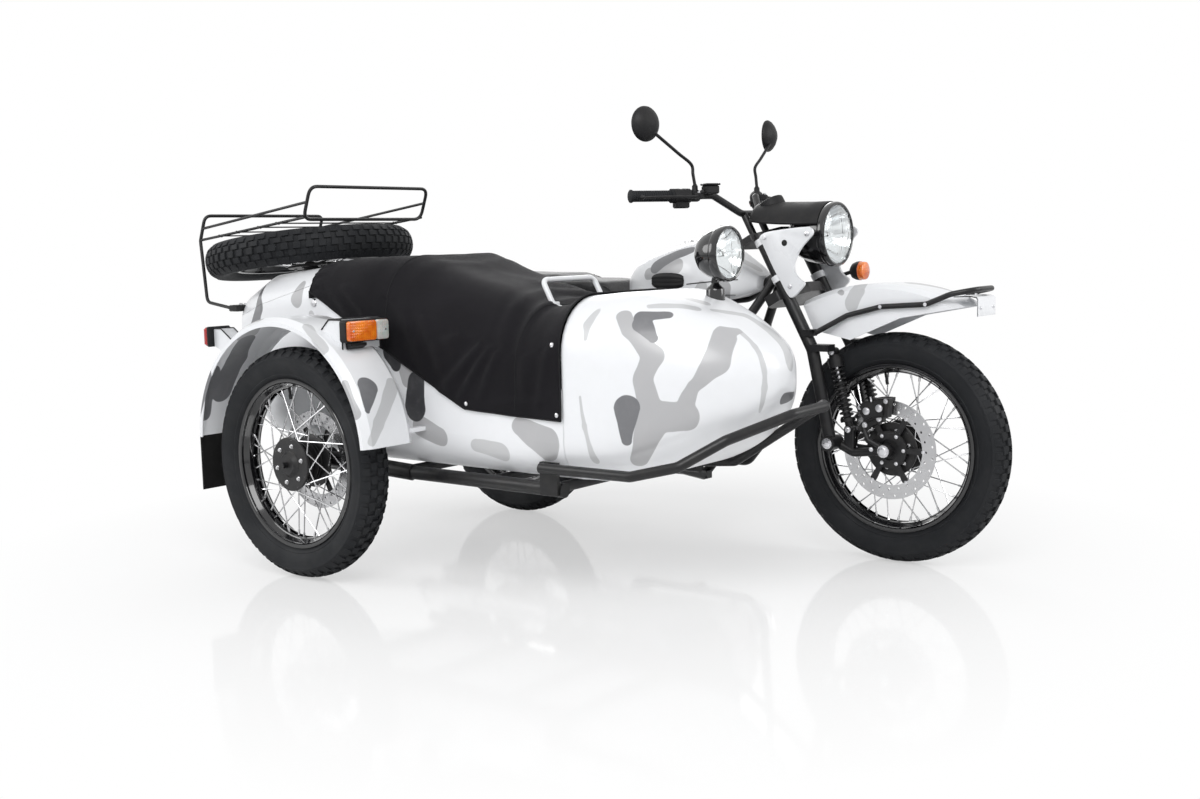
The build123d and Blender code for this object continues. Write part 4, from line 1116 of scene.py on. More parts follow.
def cover_shape(columns=150, rows=150):
    shape = Shape()
    grid = []
    for i in range(rows + 1):
        x = COVER_BACK + (COVER_FRONT - COVER_BACK) * i / rows
        high, half, top_r = (eased(COVER, column, x) for column in (2, 3, 4))
        foot = hem_height(x)
        half, high = half + CLOTH_OFF, high + CLOTH_OFF
        side = max(high - top_r - foot, 1.0)
        arc = top_r * pi / 2
        flat = 2 * (half - top_r)
        total = 2 * side + 2 * arc + flat
        line = []
        for j in range(columns + 1):
            s = total * j / columns
            if s < side:
                y, z, ny, nz = -half, foot + s, -1.0, 0.0
            elif s < side + arc:
                turn = (s - side) / top_r
                y, z = -half + top_r - top_r * cos(turn), high - top_r + top_r * sin(turn)
                ny, nz = -cos(turn), sin(turn)
            elif s < side + arc + flat:
                y, z, ny, nz = -half + top_r + (s - side - arc), high, 0.0, 1.0
            elif s < side + 2 * arc + flat:
                turn = (s - side - arc - flat) / top_r
                y, z = half - top_r + top_r * sin(turn), high - top_r + top_r * cos(turn)
                ny, nz = sin(turn), cos(turn)
            else:
                y, z, ny, nz = half, high - top_r - (s - side - 2 * arc - flat), 1.0, 0.0
            height = z if nz < 0.3 else high - abs(abs(y) - half) * 0.25
            lift = sum(crease(x, height, *fold) for fold in FOLDS)
            lift += 1.6 * noise.noise(Vector((x * 0.006, y * 0.007, z * 0.006)))
            lift += 0.5 * noise.noise(Vector((x * 0.03, y * 0.02, z * 0.028)))
            sag = (
                -9.0 * nz * max(0.0, 1 - (y / (half - 40)) ** 2)
                * sin(pi * min(1.0, max(0.0, (x - 380) / 470)))
            )
            ruffle = max(0.0, 1.0 - (x - COVER_BACK) / RUFFLE_REACH)
            lift += ruffle * (3.5 * sin(s * 0.16) + 1.5 * sin(s * 0.31 + 1.0)) - 4.0 * ruffle**3
            near_hem = max(0.0, 1.0 - min(s, total - s) / 26.0)
            lift += near_hem * 1.2 * sin(x * 0.045 + 0.6)
            lift = float(np.clip(lift, *FOLD_LIMITS))
            line.append(at(x + ruffle * 3.0 * sin(s * 0.16), CAR_Y + y + ny * lift, z + nz * lift + sag))
        grid.append(line)
    shape.grid(grid)
    return shape, grid


cover_parts, cover_grid = cover_shape()
cover = stand("cloth_cover", cover_parts.mesh("cloth_cover", CANVAS, sharp=180.0), "outfit", "cloth", "cover")
give_wall(cover, "cloth", CANVAS_THICK, 0.0)

# %% Hem tape, seams and studs
def cover_trim():
    shape = Shape()
    n = len(cover_grid[0]) - 1
    for row in (0, len(cover_grid) - 1):
        shape.tube([p for p in cover_grid[row]], 3.2 if row == 0 else 2.4, 8)
    for column in (0, n):
        shape.tube([line[column] for line in cover_grid], 2.4, 8)
    for row in (51, 126):
        shape.tube([cover_grid[row][j] + Vector((0, 0, 0.0006)) for j in range(2, n - 1)], 1.7, 6)
    studs = []
    for column, inward in ((2, -1), (n - 2, 1)):
        for row in (98, 148):
            studs.append((cover_grid[row][column], inward))
    for column, inward in ((27, -1), (n - 27, 1)):
        studs.append((cover_grid[146][column], inward))
    for spot, inward in studs:
        shape.lathe([(0.1, 3.6), (4.0, 3.2), (6.0, 2.0), (6.8, 0.0)],
                    Matrix.Translation(spot) @ Matrix.Rotation(0.0 if inward > 0 else pi, 4, "X"), 16, 1)
    return shape.mesh("cover_trim", THREAD, ZINC)


trim = stand("cover_hem_and_studs", cover_trim(), "outfit", "cloth")
cover_area = sum(polygon.area for polygon in cover.data.polygons)
across = [sum((b - a).length for a, b in zip(row, row[1:])) for row in cover_grid]
along = sum((b[75] - a[75]).length for a, b in zip(cover_grid, cover_grid[1:]))
print(
    "cover: widest across %.3f m, narrowest %.3f m, along the middle %.3f m, area %.3f m2"
    % (max(across), min(across), along, cover_area)
)

# %% [markdown]
# ## Saddle and the sidecar's seat
# Both seats are foam under vinyl. The cushion is copied from a slightly smaller block,
# remeshed into even quads, and blown up by Blender's cloth simulation with a little
# pressure and no gravity, which crowns the top and pulls the sides in between corners, as
# real upholstery does. A cap on the movement keeps it inside its space.

# %% A function that pads a block
def pad_outline(points, half, inset=8.0, edge=14.0, middle_y=0.0):
    """A solid between two side outlines in (x, z), with its long edges taken in."""
    shape = Shape()
    centre = Vector((sum(p[0] for p in points) / len(points), sum(p[1] for p in points) / len(points)))
    rows = []
    for y, grow in ((-half, edge), (-half + edge, 0.0), (0.0, -2.0), (half - edge, 0.0), (half, edge)):
        line = []
        for x, z in points:
            way = (centre - Vector((x, z))).normalized()
            line.append(at(x + way.x * (inset + grow), middle_y + y, z + way.y * (inset + grow)))
        rows.append(line)
    shape.grid(rows, close_columns=True)
    shape.cap(len(points), 5 * len(points), flip=True)
    shape.cap(len(points))
    return shape


def freeze(piece):
    """Gives a piece the mesh that its modifiers make, and takes the modifiers off."""
    made = bpy.data.meshes.new_from_object(piece.evaluated_get(bpy.context.evaluated_depsgraph_get()))
    piece.modifiers.clear()
    piece.data = made
    return made


def plump(name, mesh, body, slot, nodes, voxel, cap, pressure=4.0, frames=20):
    """Remeshes a block into a cushion, inflates it and caps how far a point may move."""
    piece = stand(name, mesh, body, slot, *nodes)
    remesh = piece.modifiers.new("even", "REMESH")
    remesh.mode = "VOXEL"
    remesh.voxel_size = voxel
    before = [v.co.copy() for v in freeze(piece).vertices]
    cloth = piece.modifiers.new("foam", "CLOTH")
    cloth.settings.use_pressure = True
    cloth.settings.uniform_pressure_force = pressure
    cloth.settings.effector_weights.gravity = 0.0
    cloth.settings.quality = 4
    cloth.point_cache.frame_end = frames + 2
    for step in range(1, frames + 1):
        bpy.context.scene.frame_set(step)
    freeze(piece)
    bpy.context.scene.frame_set(1)
    for vertex, start in zip(piece.data.vertices, before):
        move = vertex.co - start
        if move.length > cap * MM:
            vertex.co = start + move.normalized() * cap * MM
    piece.modifiers.new("round", "SMOOTH").iterations = 4
    done = freeze(piece)
    done.materials.clear()
    done.materials.append(SADDLE)
    done.polygons.foreach_set("use_smooth", [True] * len(done.polygons))
    return piece


SEAT_LINE = [
    (545, 764), (545, 800), (500, 838), (420, 844), (330, 846), (270, 866), (120, 870), (-60, 872),
    (-190, 872),
    (-225, 850), (-225, 790), (-200, 764), (0, 762), (180, 762), (360, 762),
]
SEAT_HALF = 132.0
saddle = plump(
    "saddle", pad_outline(SEAT_LINE, SEAT_HALF, 6.0, 18.0).mesh("saddle", SADDLE), "outfit", "seat_leather",
    ["seat"], 0.008, 7.0,
)
print("saddle faces:", len(saddle.data.polygons))

# %% The passenger's cushion and backrest
CUSHION_LINE = [
    (154, 345), (154, 556), (240, 558), (400, 556), (556, 552), (556, 345), (400, 345), (240, 345),
]
BACK_LINE = [(92, 475), (90, 700), (96, 856), (146, 858), (148, 700), (148, 560), (140, 475)]
cushion = plump(
    "passenger_cushion", pad_outline(CUSHION_LINE, 176.0, 6.0, 16.0, CAR_Y).mesh("cushion", SADDLE),
    "outfit", "seat_leather", ["car_seat"], 0.009, 7.0,
)
backrest = plump(
    "passenger_backrest", pad_outline(BACK_LINE, 176.0, 3.0, 10.0, CAR_Y).mesh("backrest", SADDLE),
    "outfit", "seat_leather", ["car_seat"], 0.009, 5.0,
)


def seat_piping():
    shape = Shape()
    for side in (-1, 1):
        edge = [
            at(x, side * (SEAT_HALF - 13.0), z)
            for x, z in [
                (538, 792), (505, 826), (420, 835), (330, 839), (266, 857), (120, 861), (-60, 863),
                (-186, 862), (-214, 842),
            ]
        ]
        shape.tube(smooth_path(edge, 10), 2.6, 8)
    for x, z in ((270, 860), (60, 866), (-60, 867)):
        seam = [
            at(x + 4 * sin(t * 3), y, z + 3.5 - 6.0 * (abs(y) / SEAT_HALF) ** 4)
            for t, y in ((k / 20, (SEAT_HALF - 14) * (k / 10 - 1)) for k in range(21))
        ]
        shape.tube(seam, 2.0, 8)
    return shape.mesh("saddle_piping", SADDLE)


stand("saddle_piping", seat_piping(), "outfit", "seat_leather")
print("seats done")

# %% [markdown]
# ## Fuel tank
# The tank is a teardrop of pressed steel: broad over the rider's knees, narrow at the
# steering head. It is lofted like the nose. Rubber knee pads, a painted line and the
# filler cap are separate pieces laid on it, because they are separate on the machine.

# %% Tank, knee pads, line and cap
TANK = [
    # x, low z, high z, half width, top corners' radius, low corners' radius
    (560.0, 790.0, 868.0, 60.0, 36.0, 24.0),
    (600.0, 786.0, 902.0, 92.0, 62.0, 30.0),
    (690.0, 777.0, 938.0, 126.0, 84.0, 40.0),
    (860.0, 777.0, 968.0, 148.0, 104.0, 48.0),
    (990.0, 790.0, 900.0, 112.0, 66.0, 34.0),
    (1054.0, 814.0, 856.0, 54.0, 22.0, 16.0),
]


def tank_side(x, z, side, off=0.0):
    """A point on the tank's side at x and height z, or its nearest corner."""
    low, high, half, top_r, low_r = (eased(TANK, column, x) for column in range(1, 6))
    y = half
    if z > high - top_r:
        y = half - top_r + sqrt(max(top_r**2 - (z - high + top_r) ** 2, 0.0))
    elif z < low + low_r:
        y = half - low_r + sqrt(max(low_r**2 - (low + low_r - z) ** 2, 0.0))
    return at(x, side * (y + off), z)


def tank_shape():
    shape = Shape()
    stations = [560, 563] + list(np.linspace(570, 1040, 46)) + [1047, 1051, 1054]
    rows = loft_rows(TANK, 0.0, stations)
    shape.grid(rows, close_columns=True)
    shape.cap(len(rows[0]), len(shape.verts), flip=True)
    shape.cap(len(rows[0]))
    return shape.mesh("fuel_tank", TANK_PAINT, sharp=60.0)


stand("fuel_tank", tank_shape(), "outfit", "white_paint", "tank")


def tank_trim():
    shape = Shape()
    for side in (-1, 1):
        rows = []
        for i in range(19):
            turn = pi * i / 18
            row = []
            for j in range(13):
                x = 703 + (842 - 703) * (0.5 - 0.5 * cos(pi * j / 12))
                edge = sin(pi * j / 12) ** 0.4
                z = 846 + 28 * edge * cos(turn)
                lift = 6.5 * max(0.0, min(1.0, 3.0 * (1 - abs(cos(turn))), 3.0 * edge - 0.6)) - 1.5
                row.append(tank_side(x, z, side, lift + (0.8 if i % 3 == 0 else 0.0)))
            rows.append(row)
        shape.grid(rows, 0)
        line = [tank_side(x, 836 + 14 * sin((x - 850) / 150), side, 0.6) for x in np.linspace(852, 1010, 40)]
        shape.tube(line, 1.6, 6, 1)
        line = [tank_side(x, 800 + 4 * sin((x - 620) / 120), side, 0.6) for x in np.linspace(620, 1000, 60)]
        shape.tube(line, 1.2, 6, 1)
    cap = [(0.1, 976), (18, 975.5), (22, 973), (24, 966), (30, 965), (33, 962), (34, 950), (34, 940)]
    shape.lathe(cap, facing("up", at(770, 0, 0)), 48, 2)
    for i in range(24):
        turn = 2 * pi * i / 24
        foot = at(770 + 33.5 * cos(turn), 33.5 * sin(turn), 942)
        shape.tube([foot, foot + Vector((0, 0, 18 * MM))], 1.4, 6, 2)
    return shape.mesh("tank_trim", BLACK_PLASTIC, BLACK_GLOSS, CHROME)


stand("knee_pads_and_cap", tank_trim(), "outfit", "black_plastic")
print("tank ready")

# %% [markdown]
# ## Headlamp
# A headlamp is a spun bowl, a rim, a bright paraboloid, a bulb and a glass with moulded
# flutes. All but the flutes turn about one axis, so a lathe makes them. The flutes are
# rounded ribs on the glass, because real ribs bend what is seen through them, as a bump
# would not.

# %% Lathed lamps
def bowl_shape(place, rim, body, depth):
    """Shell and rim of a lamp; y is how far ahead of the lens's seat a point lies."""
    shape = Shape()
    shell = [
        (0.1, -depth), (body * 0.24, -depth * 0.985), (body * 0.5, -depth * 0.92),
        (body * 0.74, -depth * 0.78),
    ]
    shell += [(body * 0.9, -depth * 0.58), (body * 0.98, -depth * 0.36), (body, -depth * 0.18), (body, -22)]
    shell += [
        (rim - 2.0, -21), (rim, -18), (rim, -4), (rim - 1.5, 1.0), (rim - 5.0, 3.5), (rim - 9.5, 2.0),
        (rim - 10.0, -6),
    ]
    shape.lathe(shell, place, 72, 0)
    bright = (
        [(rim - 9.8, -4)]
        + [(r, -4 - (1 - (r / (rim - 10)) ** 2) * depth * 0.55) for r in np.linspace(rim - 11, 12, 14)]
    )
    shape.lathe(bright, place, 72, 1)
    bulb = [
        (12.0, -depth * 0.56), (12.0, -depth * 0.48), (9.0, -depth * 0.44), (9.5, -depth * 0.3),
        (7.0, -depth * 0.22), (0.1, -depth * 0.2),
    ]
    shape.lathe(bulb, place, 32, 2)
    return shape


def lens_shape(place, radius, height, ribs):
    """A domed glass whose back carries upright flutes."""
    shape = Shape()
    rows_out, rows_in = [], []
    steps = 46
    for i in range(15):
        r = radius * sin(pi / 2 * i / 14) if i else 0.01
        rise = height * (1 - (r / radius) ** 2)
        out, back = [], []
        for j in range(steps * 2):
            turn = pi * j / steps
            across, up = r * cos(turn), r * sin(turn)
            edge = max(0.0, 1 - (r / radius) ** 6)
            flute = 1.1 * edge * abs(sin(across * pi * ribs / (2 * radius)))
            wave = 0.5 * edge * sin(up * 0.22)
            out.append(place @ mm(across, rise - 1.0, up))
            back.append(place @ mm(across, rise - 4.0 - flute - wave, up))
        rows_out.append(out)
        rows_in.append(back)
    shape.grid(rows_out + rows_in[::-1], close_columns=True)
    return shape


HEAD = (1308.0, 0.0, 982.0)
head_place = facing("ahead", at(*HEAD))
LAMP_BULB = clear_glass("bulb_glass")
headlight = bowl_shape(head_place, 98.0, 92.0, 160.0)
for side in (-1, 1):
    headlight.lathe(
        [(0.1, 0), (11, 0), (11, 46), (14, 47), (14, 50), (0.1, 50)],
        facing(side, at(1270, side * 90, 988)), 20, 0,
    )
stand(
    "headlamp", headlight.mesh("headlamp", BLACK_GLOSS, REFLECTOR, LAMP_BULB), "steering", "black_paint",
    "headlight",
)
stand(
    "headlamp_lens", lens_shape(head_place, 88.0, 16.0, 15).mesh("headlamp_lens", GLASS, sharp=60.0),
    "steering", "lens_clear", "headlight_lens",
)

# %% Spot lamp on the nose
SPOT = (1304.0, -600.0, 935.0)
spot_place = facing("ahead", at(*SPOT))
spot = bowl_shape(spot_place, 76.0, 70.0, 98.0)
spot.tube([at(1258, -600, z) for z in (800, 818, 838, 866)], 11.0, 20)
spot.lathe(
    [(0.1, 60), (9, 60), (12, 50), (24, 40), (26, 34), (26, -8)], facing("up", at(1258, -600, 803)), 32,
)
spot.lathe([(0.1, 10), (9, 9), (10, 4), (10, -8)], facing(1, at(1262, -600, 868)), 16, 3)
stand(
    "spot_lamp", spot.mesh("spot_lamp", BLACK_GLOSS, REFLECTOR, LAMP_BULB, ZINC), "outfit", "black_paint",
    "spot_lamp",
)
stand(
    "spot_lamp_lens", lens_shape(spot_place, 66.5, 11.0, 19).mesh("spot_lamp_lens", GLASS, sharp=60.0),
    "outfit", "lens_clear", "spot_lens",
)
print("lamps ready")

# %% [markdown]
# ## Nacelle, dial and ears
# A black hood runs back from the headlamp to the dial, and two white pressed plates, the
# ears, tie the lamp to the fork tubes. The hood is a half-round sweep that grows towards
# the lamp; the ears are flat plates with a rolled edge.

# %% Nacelle and dial
def nacelle_shape():
    shape = Shape()
    rows = []
    for x, r, rise in (
        (1034, 70, 26), (1040, 80, 22), (1052, 88, 16), (1090, 95, 9), (1160, 99, 3), (1230, 100, 0),
        (1284, 100, 0), (1287, 99, 0), (1287, 95, 0),
    ):
        start = asin(34.0 / 100.0) * 0.9
        rows.append(
            [at(x, r * cos(t), HEAD[2] + rise + r * sin(t)) for t in np.linspace(start, pi - start, 33)]
        )
    shape.grid(rows)
    return shape


nacelle = stand(
    "nacelle", nacelle_shape().mesh("nacelle", BLACK_PLASTIC, sharp=60.0), "steering", "black_plastic",
    "instruments",
)
give_wall(nacelle, "wall", SHEET_METAL)


def dial_material():
    """A black dial face with a fine speck."""
    material, tree, shader = new_material("dial_face")
    speck = tree.noise(tree.place(), 900.0)
    tree.feed(shader, {
        "Base Color": tree.mix(speck, (0.006, 0.006, 0.007), (0.012, 0.012, 0.013)),
        "Roughness": tree.remap(speck, 0.3, 0.7, 0.35, 0.5),
    })
    return material


DIAL_FACE = dial_material()
DIAL_MARK = finish_of("dial_marks", (0.75, 0.75, 0.73), (0.4, 0.5), 800.0, 0.05)
DIAL_NEEDLE = finish_of("dial_needle", (0.6, 0.05, 0.02), (0.35, 0.45), 800.0, 0.05)


DIAL_LEAN = radians(-30.0)
DIAL_PLACE = (
    Matrix.Translation(at(1084, 0, 1062)) @ Matrix.Rotation(DIAL_LEAN, 4, "Y")
    @ Matrix.Rotation(pi / 2, 4, "X")
)


def dial_shape():
    """The speedometer's cup, face, marks and needle; its axis leans back towards the rider."""
    shape = Shape()
    place = DIAL_PLACE
    shape.lathe(
        [(34, -14), (41, -10), (43, 0), (43, 22), (42, 28), (39, 30), (36.5, 28), (36.5, 22)], place, 48, 0,
    )
    shape.lathe([(0.1, 22), (36.6, 22)], place, 48, 1)
    for i in range(33):
        turn = radians(-120 + 240 * i / 32) + pi / 2
        inner = 29.0 if i % 4 == 0 else 31.5
        a, b = (place @ mm(r * cos(turn), 22.5, r * sin(turn)) for r in (inner, 34.0))
        shape.tube([a, b], 0.55, 4, 2)
    for side in (-1, 1):
        spot_at = place @ mm(12.0 * side, 22.5, -14.0)
        shape.lathe(
            [(0.1, 0.6), (2.4, 0.4), (2.6, 0)], Matrix.Translation(spot_at) @ place.to_3x3().to_4x4(), 12, 2,
        )
    turn = radians(205)
    shape.tube([place @ mm(r * cos(turn), 24.0, r * sin(turn)) for r in (-6, 10, 28)], [1.4, 1.1, 0.4], 6, 3)
    shape.lathe([(0.1, 26), (4, 25.5), (4.5, 22)], place, 20, 0)
    return shape.mesh("speedometer", BLACK_PLASTIC, DIAL_FACE, DIAL_MARK, DIAL_NEEDLE)


stand("speedometer", dial_shape(), "steering", "black_plastic")
cover_glass = Shape()
dome = [(0.1, 28.6), (20, 28.3), (36.4, 27.0), (36.4, 25.6), (20, 26.6), (0.1, 26.9)]
cover_glass.lathe(dome, DIAL_PLACE, 48)
stand("speedometer_glass", cover_glass.mesh("speedometer_glass", GLASS), "steering", "lens_clear")

# %% The ears
EAR = [
    (1288, 1005), (1240, 1003), (1145, 993), (1118, 977), (1126, 962), (1166, 884), (1190, 845), (1214, 805),
    (1232, 796), (1262, 822), (1273, 838), (1258, 850), (1242, 868), (1238, 893), (1247, 918), (1264, 945),
    (1290, 971), (1301, 984), (1300, 996),
]
EAR_OUT = 144.5


def ears_shape():
    shape = Shape()
    outline = [at(x, 0, z) for x, z in EAR]
    loop = smooth_path(outline + [outline[0]], 5)[:-1]
    middle = sum(loop, Vector()) / len(loop)
    for side in (-1, 1):
        rows = []
        for inward, y in ((0.0, EAR_OUT - 9.0), (0.0, EAR_OUT - 2.0), (1.2, EAR_OUT - 0.4), (3.2, EAR_OUT)):
            rows.append(
                [p + (middle - p).normalized() * inward * MM + Vector((0, side * y * MM, 0)) for p in loop]
            )
        shape.grid(rows, close_columns=True)
        shape.cap(len(loop))
        shape.cap(len(loop), 4 * len(loop), flip=True)
        for (x, z), r, metal in (
            ((1206, 959), 8.0, 2), ((1283, 985), 7.0, 1), ((1224, 830), 6.0, 1), ((1137, 976), 5.0, 1),
        ):
            spot_at = at(x, side * (EAR_OUT + 0.3), z)
            if metal == 2:
                shape.lathe([(0.1, 0.2), (r, 0.3), (r + 1.5, 0.1)], facing(side, spot_at), 20, 2)
            else:
                shape.bolt(spot_at, (0, side, 0), r, 5.0, 1)
        for z in (852, 962):
            shape.tube(
                [at(steer_leg_x(z - 9), side * 120, z - 9), at(steer_leg_x(z + 9), side * 120, z + 9)],
                23.0, 32, 0,
            )
    return shape.mesh("lamp_ears", WHITE_ENAMEL, ZINC, BLACK_PLASTIC)


def steer_leg_x(z):
    """Where the fork tubes' middle lies at height z."""
    return 1578.0 - z * tan(RAKE) + 43.0 / cos(RAKE)


stand("lamp_ears", ears_shape(), "steering", "white_paint", "fork_ears")
print("nacelle and ears ready")

# %% [markdown]
# ## Bent wire and tube
# Racks, guards and handles are tube bent round a former: straight runs joined by arcs of
# one radius. A curve object could do it, but its bends would not keep that radius, so the
# arcs are worked out here and swept like any other path.

# %% A path with bends of one radius
def bent_path(points, bend, steps=7, closed=False):
    """Straight runs through points (in metres) with arcs of radius bend (in millimetres)."""
    points = [Vector(p) for p in points]
    count = len(points)
    path = []
    for i, corner in enumerate(points):
        if not closed and i in (0, count - 1):
            path.append(corner)
            continue
        back = points[i - 1] - corner
        ahead = points[(i + 1) % count] - corner
        half = 0.5 * back.angle(ahead)
        reach = min(bend * MM / tan(half), 0.48 * back.length, 0.48 * ahead.length)
        start, end = corner + back.normalized() * reach, corner + ahead.normalized() * reach
        for k in range(steps + 1):
            t = k / steps
            path.append(start * (1 - t) ** 2 + corner * 2 * t * (1 - t) + end * t**2)
    return path


def mirrored(points):
    """A half run at y < 0, and the same run back on the other side."""
    return points + [(x, -y, z) for x, y, z in reversed(points)]

# %% [markdown]
# ## Luggage rack over the spare wheel
# The rack is bent from thin rod in one plane after another: a tall loop behind, a low loop
# in front, two rails a side, and flat slats. The rods meet in welds, so each end runs a
# little into its neighbour.

# %% The rack
def rack_shape():
    shape = Shape()

    def rod(points, radius, bend=24.0, closed=False):
        shape.tube(
            bent_path([at(x, CAR_Y + y, z) for x, y, z in points], bend, closed=closed), radius, 10,
            closed=closed,
        )

    rear = [(-425, 786), (-560, 806), (-580, 1010), (-548, 1092)]
    rod([(x, -252, z) for x, z in rear] + [(x, 252, z) for x, z in reversed(rear)], 5.5)
    rod([(-48, -252, 1066), (-10, -252, 1166), (-10, 252, 1166), (-48, 252, 1066)], 5.5, 30.0, closed=True)
    for y in (-252, 252):
        rod([(-577, y, 1012), (-44, y, 1072)], 4.5)
        rod([(-564, y, 1050), (-28, y, 1119)], 4.5)
    for x in (-470.0, -378.0, -266.0, -174.0):
        z = 1012 + (x + 577) * 60 / 533
        shape.box((x - 12, x + 12), (CAR_Y - 252, CAR_Y + 252), (z - 2, z + 2), 0, 1.0)
        for y in (-252, 252):
            for dx in (-7, 7):
                shape.tube([at(x + dx, CAR_Y + y, z - 5), at(x + dx, CAR_Y + y, z + 5)], 2.0, 6)
    for side in (-1, 1):
        shape.box((-440, -395), (CAR_Y + side * 190, CAR_Y + side * 258), (776, 797), 0, 3.0)
        for x in (-430, -405):
            shape.bolt(at(x, CAR_Y + side * 215, 797), (0, 0, 1), 5.5, 5.0, 1)
    shape.box((-345, -225), (CAR_Y - 14, CAR_Y + 14), (1028, 1040), 0, 2.0)
    return shape.mesh("luggage_rack", BLACK_FRAME, ZINC)


stand("luggage_rack", rack_shape(), "trunk_lid_set", "black_frame", "rack")


def handle_shape():
    """The passenger's grab handle: a white hoop with a flange and two screws at each foot."""
    shape = Shape()
    hoop = [(850, -115, 786), (803, -115, 872), (803, 115, 872), (850, 115, 786)]
    shape.tube(bent_path([at(x, CAR_Y + y, z) for x, y, z in hoop], 22.0, 10), 8.0, 16)
    for y in (-115, 115):
        foot = facing("up", at(850, CAR_Y + y, 796))
        shape.lathe([(8, 16), (11, 14), (12, 6), (18, 4), (19, 2), (19, -6)], foot, 24)
        for dx in (-14, 14):
            shape.bolt(at(850 + dx, CAR_Y + y, 798), (0, 0, 1), 3.2, 3.5, 1)
    return shape.mesh("grab_handle_hoop", WHITE_ENAMEL, ZINC)


stand("grab_handle_hoop", handle_shape(), "outfit", "white_paint", "grab_handle")
print("rack and handle ready")

# %% [markdown]
# ## Side panels under the hem
# Between the cockpit's rim and the slanting hem each side of the tub is closed by a
# painted panel. It is flat, so its outline is drawn once and pulled across.

# %% Side panels
def prism_between(shape, outline, y0, y1, slot):
    """A side outline in (x, z) pulled across from y0 to y1."""
    rows = [[at(x, y, z) for x, z in outline] for y in (y0, y1)]
    shape.grid(rows, slot, close_columns=True)
    shape.cap(len(outline), 2 * len(outline), slot)
    shape.cap(len(outline), slot=slot, flip=True)


SIDE_PANEL = [(165, 778), (396, 543), (640, 543), (626, 552), (300, 712), (180, 776)]
panels = Shape()
for side in (-1, 1):
    prism_between(panels, SIDE_PANEL, CAR_Y + side * 297.0, CAR_Y + side * 300.6, 0)
stand("tub_side_panels", panels.mesh("tub_side_panels", TUB_PAINT), "outfit", "white_paint")
print("side panels ready")

# %% [markdown]
# ## Guard tube and plate bracket of the front mudguard
# A tube follows each edge of the mudguard and meets its twin in a loop ahead of the tip.
# Under the loop hangs a small plate bracket of folded sheet with two holes.

# %% Guard tube
def guard_tube():
    shape = Shape()
    run = [
        (1294, -116, 690), (1390, -99, 742), (1500, -99, 769), (1640, -99, 777), (1712, -97, 806),
        (1774, -66, 818),
    ]
    ends = bent_path([at(*p) for p in mirrored(run)], 55.0, 10)
    shape.tube(ends, 8.0, 14)
    for x, z in ((1500, 769), (1640, 777)):
        for side in (-1, 1):
            shape.bolt(at(x, side * 106, z), (0, side, 0), 4.5, 4.5, 1)
            shape.tube([at(x, side * 88, z), at(x, side * 99, z)], 6.0, 10)
    return shape.mesh("guard_tube", BLACK_FRAME, ZINC)


stand("guard_tube", guard_tube(), "steering", "black_frame", "mudguard_tube")


def plate_bracket():
    shape = Shape()
    rows = []
    for x, z in (
        (1706, 798), (1752, 800), (1775, 797), (1779, 790), (1779, 742), (1776, 742), (1776, 788),
        (1772, 794), (1752, 797), (1706, 795),
    ):
        rows.append([at(x, y, z) for y in (-62, -60, -20, 20, 60, 62)])
    shape.grid(rows, close_rows=True)
    for y in (-45, 45):
        shape.bolt(at(1779, y, 765), (1, 0, 0), 4.0, 4.0, 1)
    for y in (-40, 40):
        shape.bolt(at(1730, y, 799), (0, 0, 1), 4.0, 4.0, 1)
    return shape.mesh("plate_bracket", WHITE_ENAMEL, ZINC)


stand("plate_bracket", plate_bracket(), "steering", "white_paint")

# %% [markdown]
# ## Grips, levers and switches
# Each end of the bar carries a ribbed rubber grip, a clamp with a lever, a switch block
# and the foot of a mirror; the right one also has the brake's fluid reservoir. Turned
# parts are lathed along the bar, and the lever is a tapering sweep.

# %% Handlebar controls
BAR_END = Vector((809.0, 360.0, 1110.0))
BAR_BEND = Vector((940.0, 125.0, 1110.0))


def bar_frame(side):
    """A matrix at the bar's end: Y along the bar inwards, X ahead, Z up."""
    way = (BAR_BEND - BAR_END).normalized()
    way = Vector((way.x, side * way.y, 0.0))
    ahead = Vector((abs(way.y), -way.x * (1 if way.y > 0 else -1), 0.0))
    turn = Matrix((ahead, way, Vector((0, 0, 1)))).transposed().to_4x4()
    return Matrix.Translation(at(BAR_END.x, side * BAR_END.y, BAR_END.z)) @ turn


def along_bar(side, along, ahead=0.0, up=0.0):
    return bar_frame(side) @ mm(ahead, along, up)


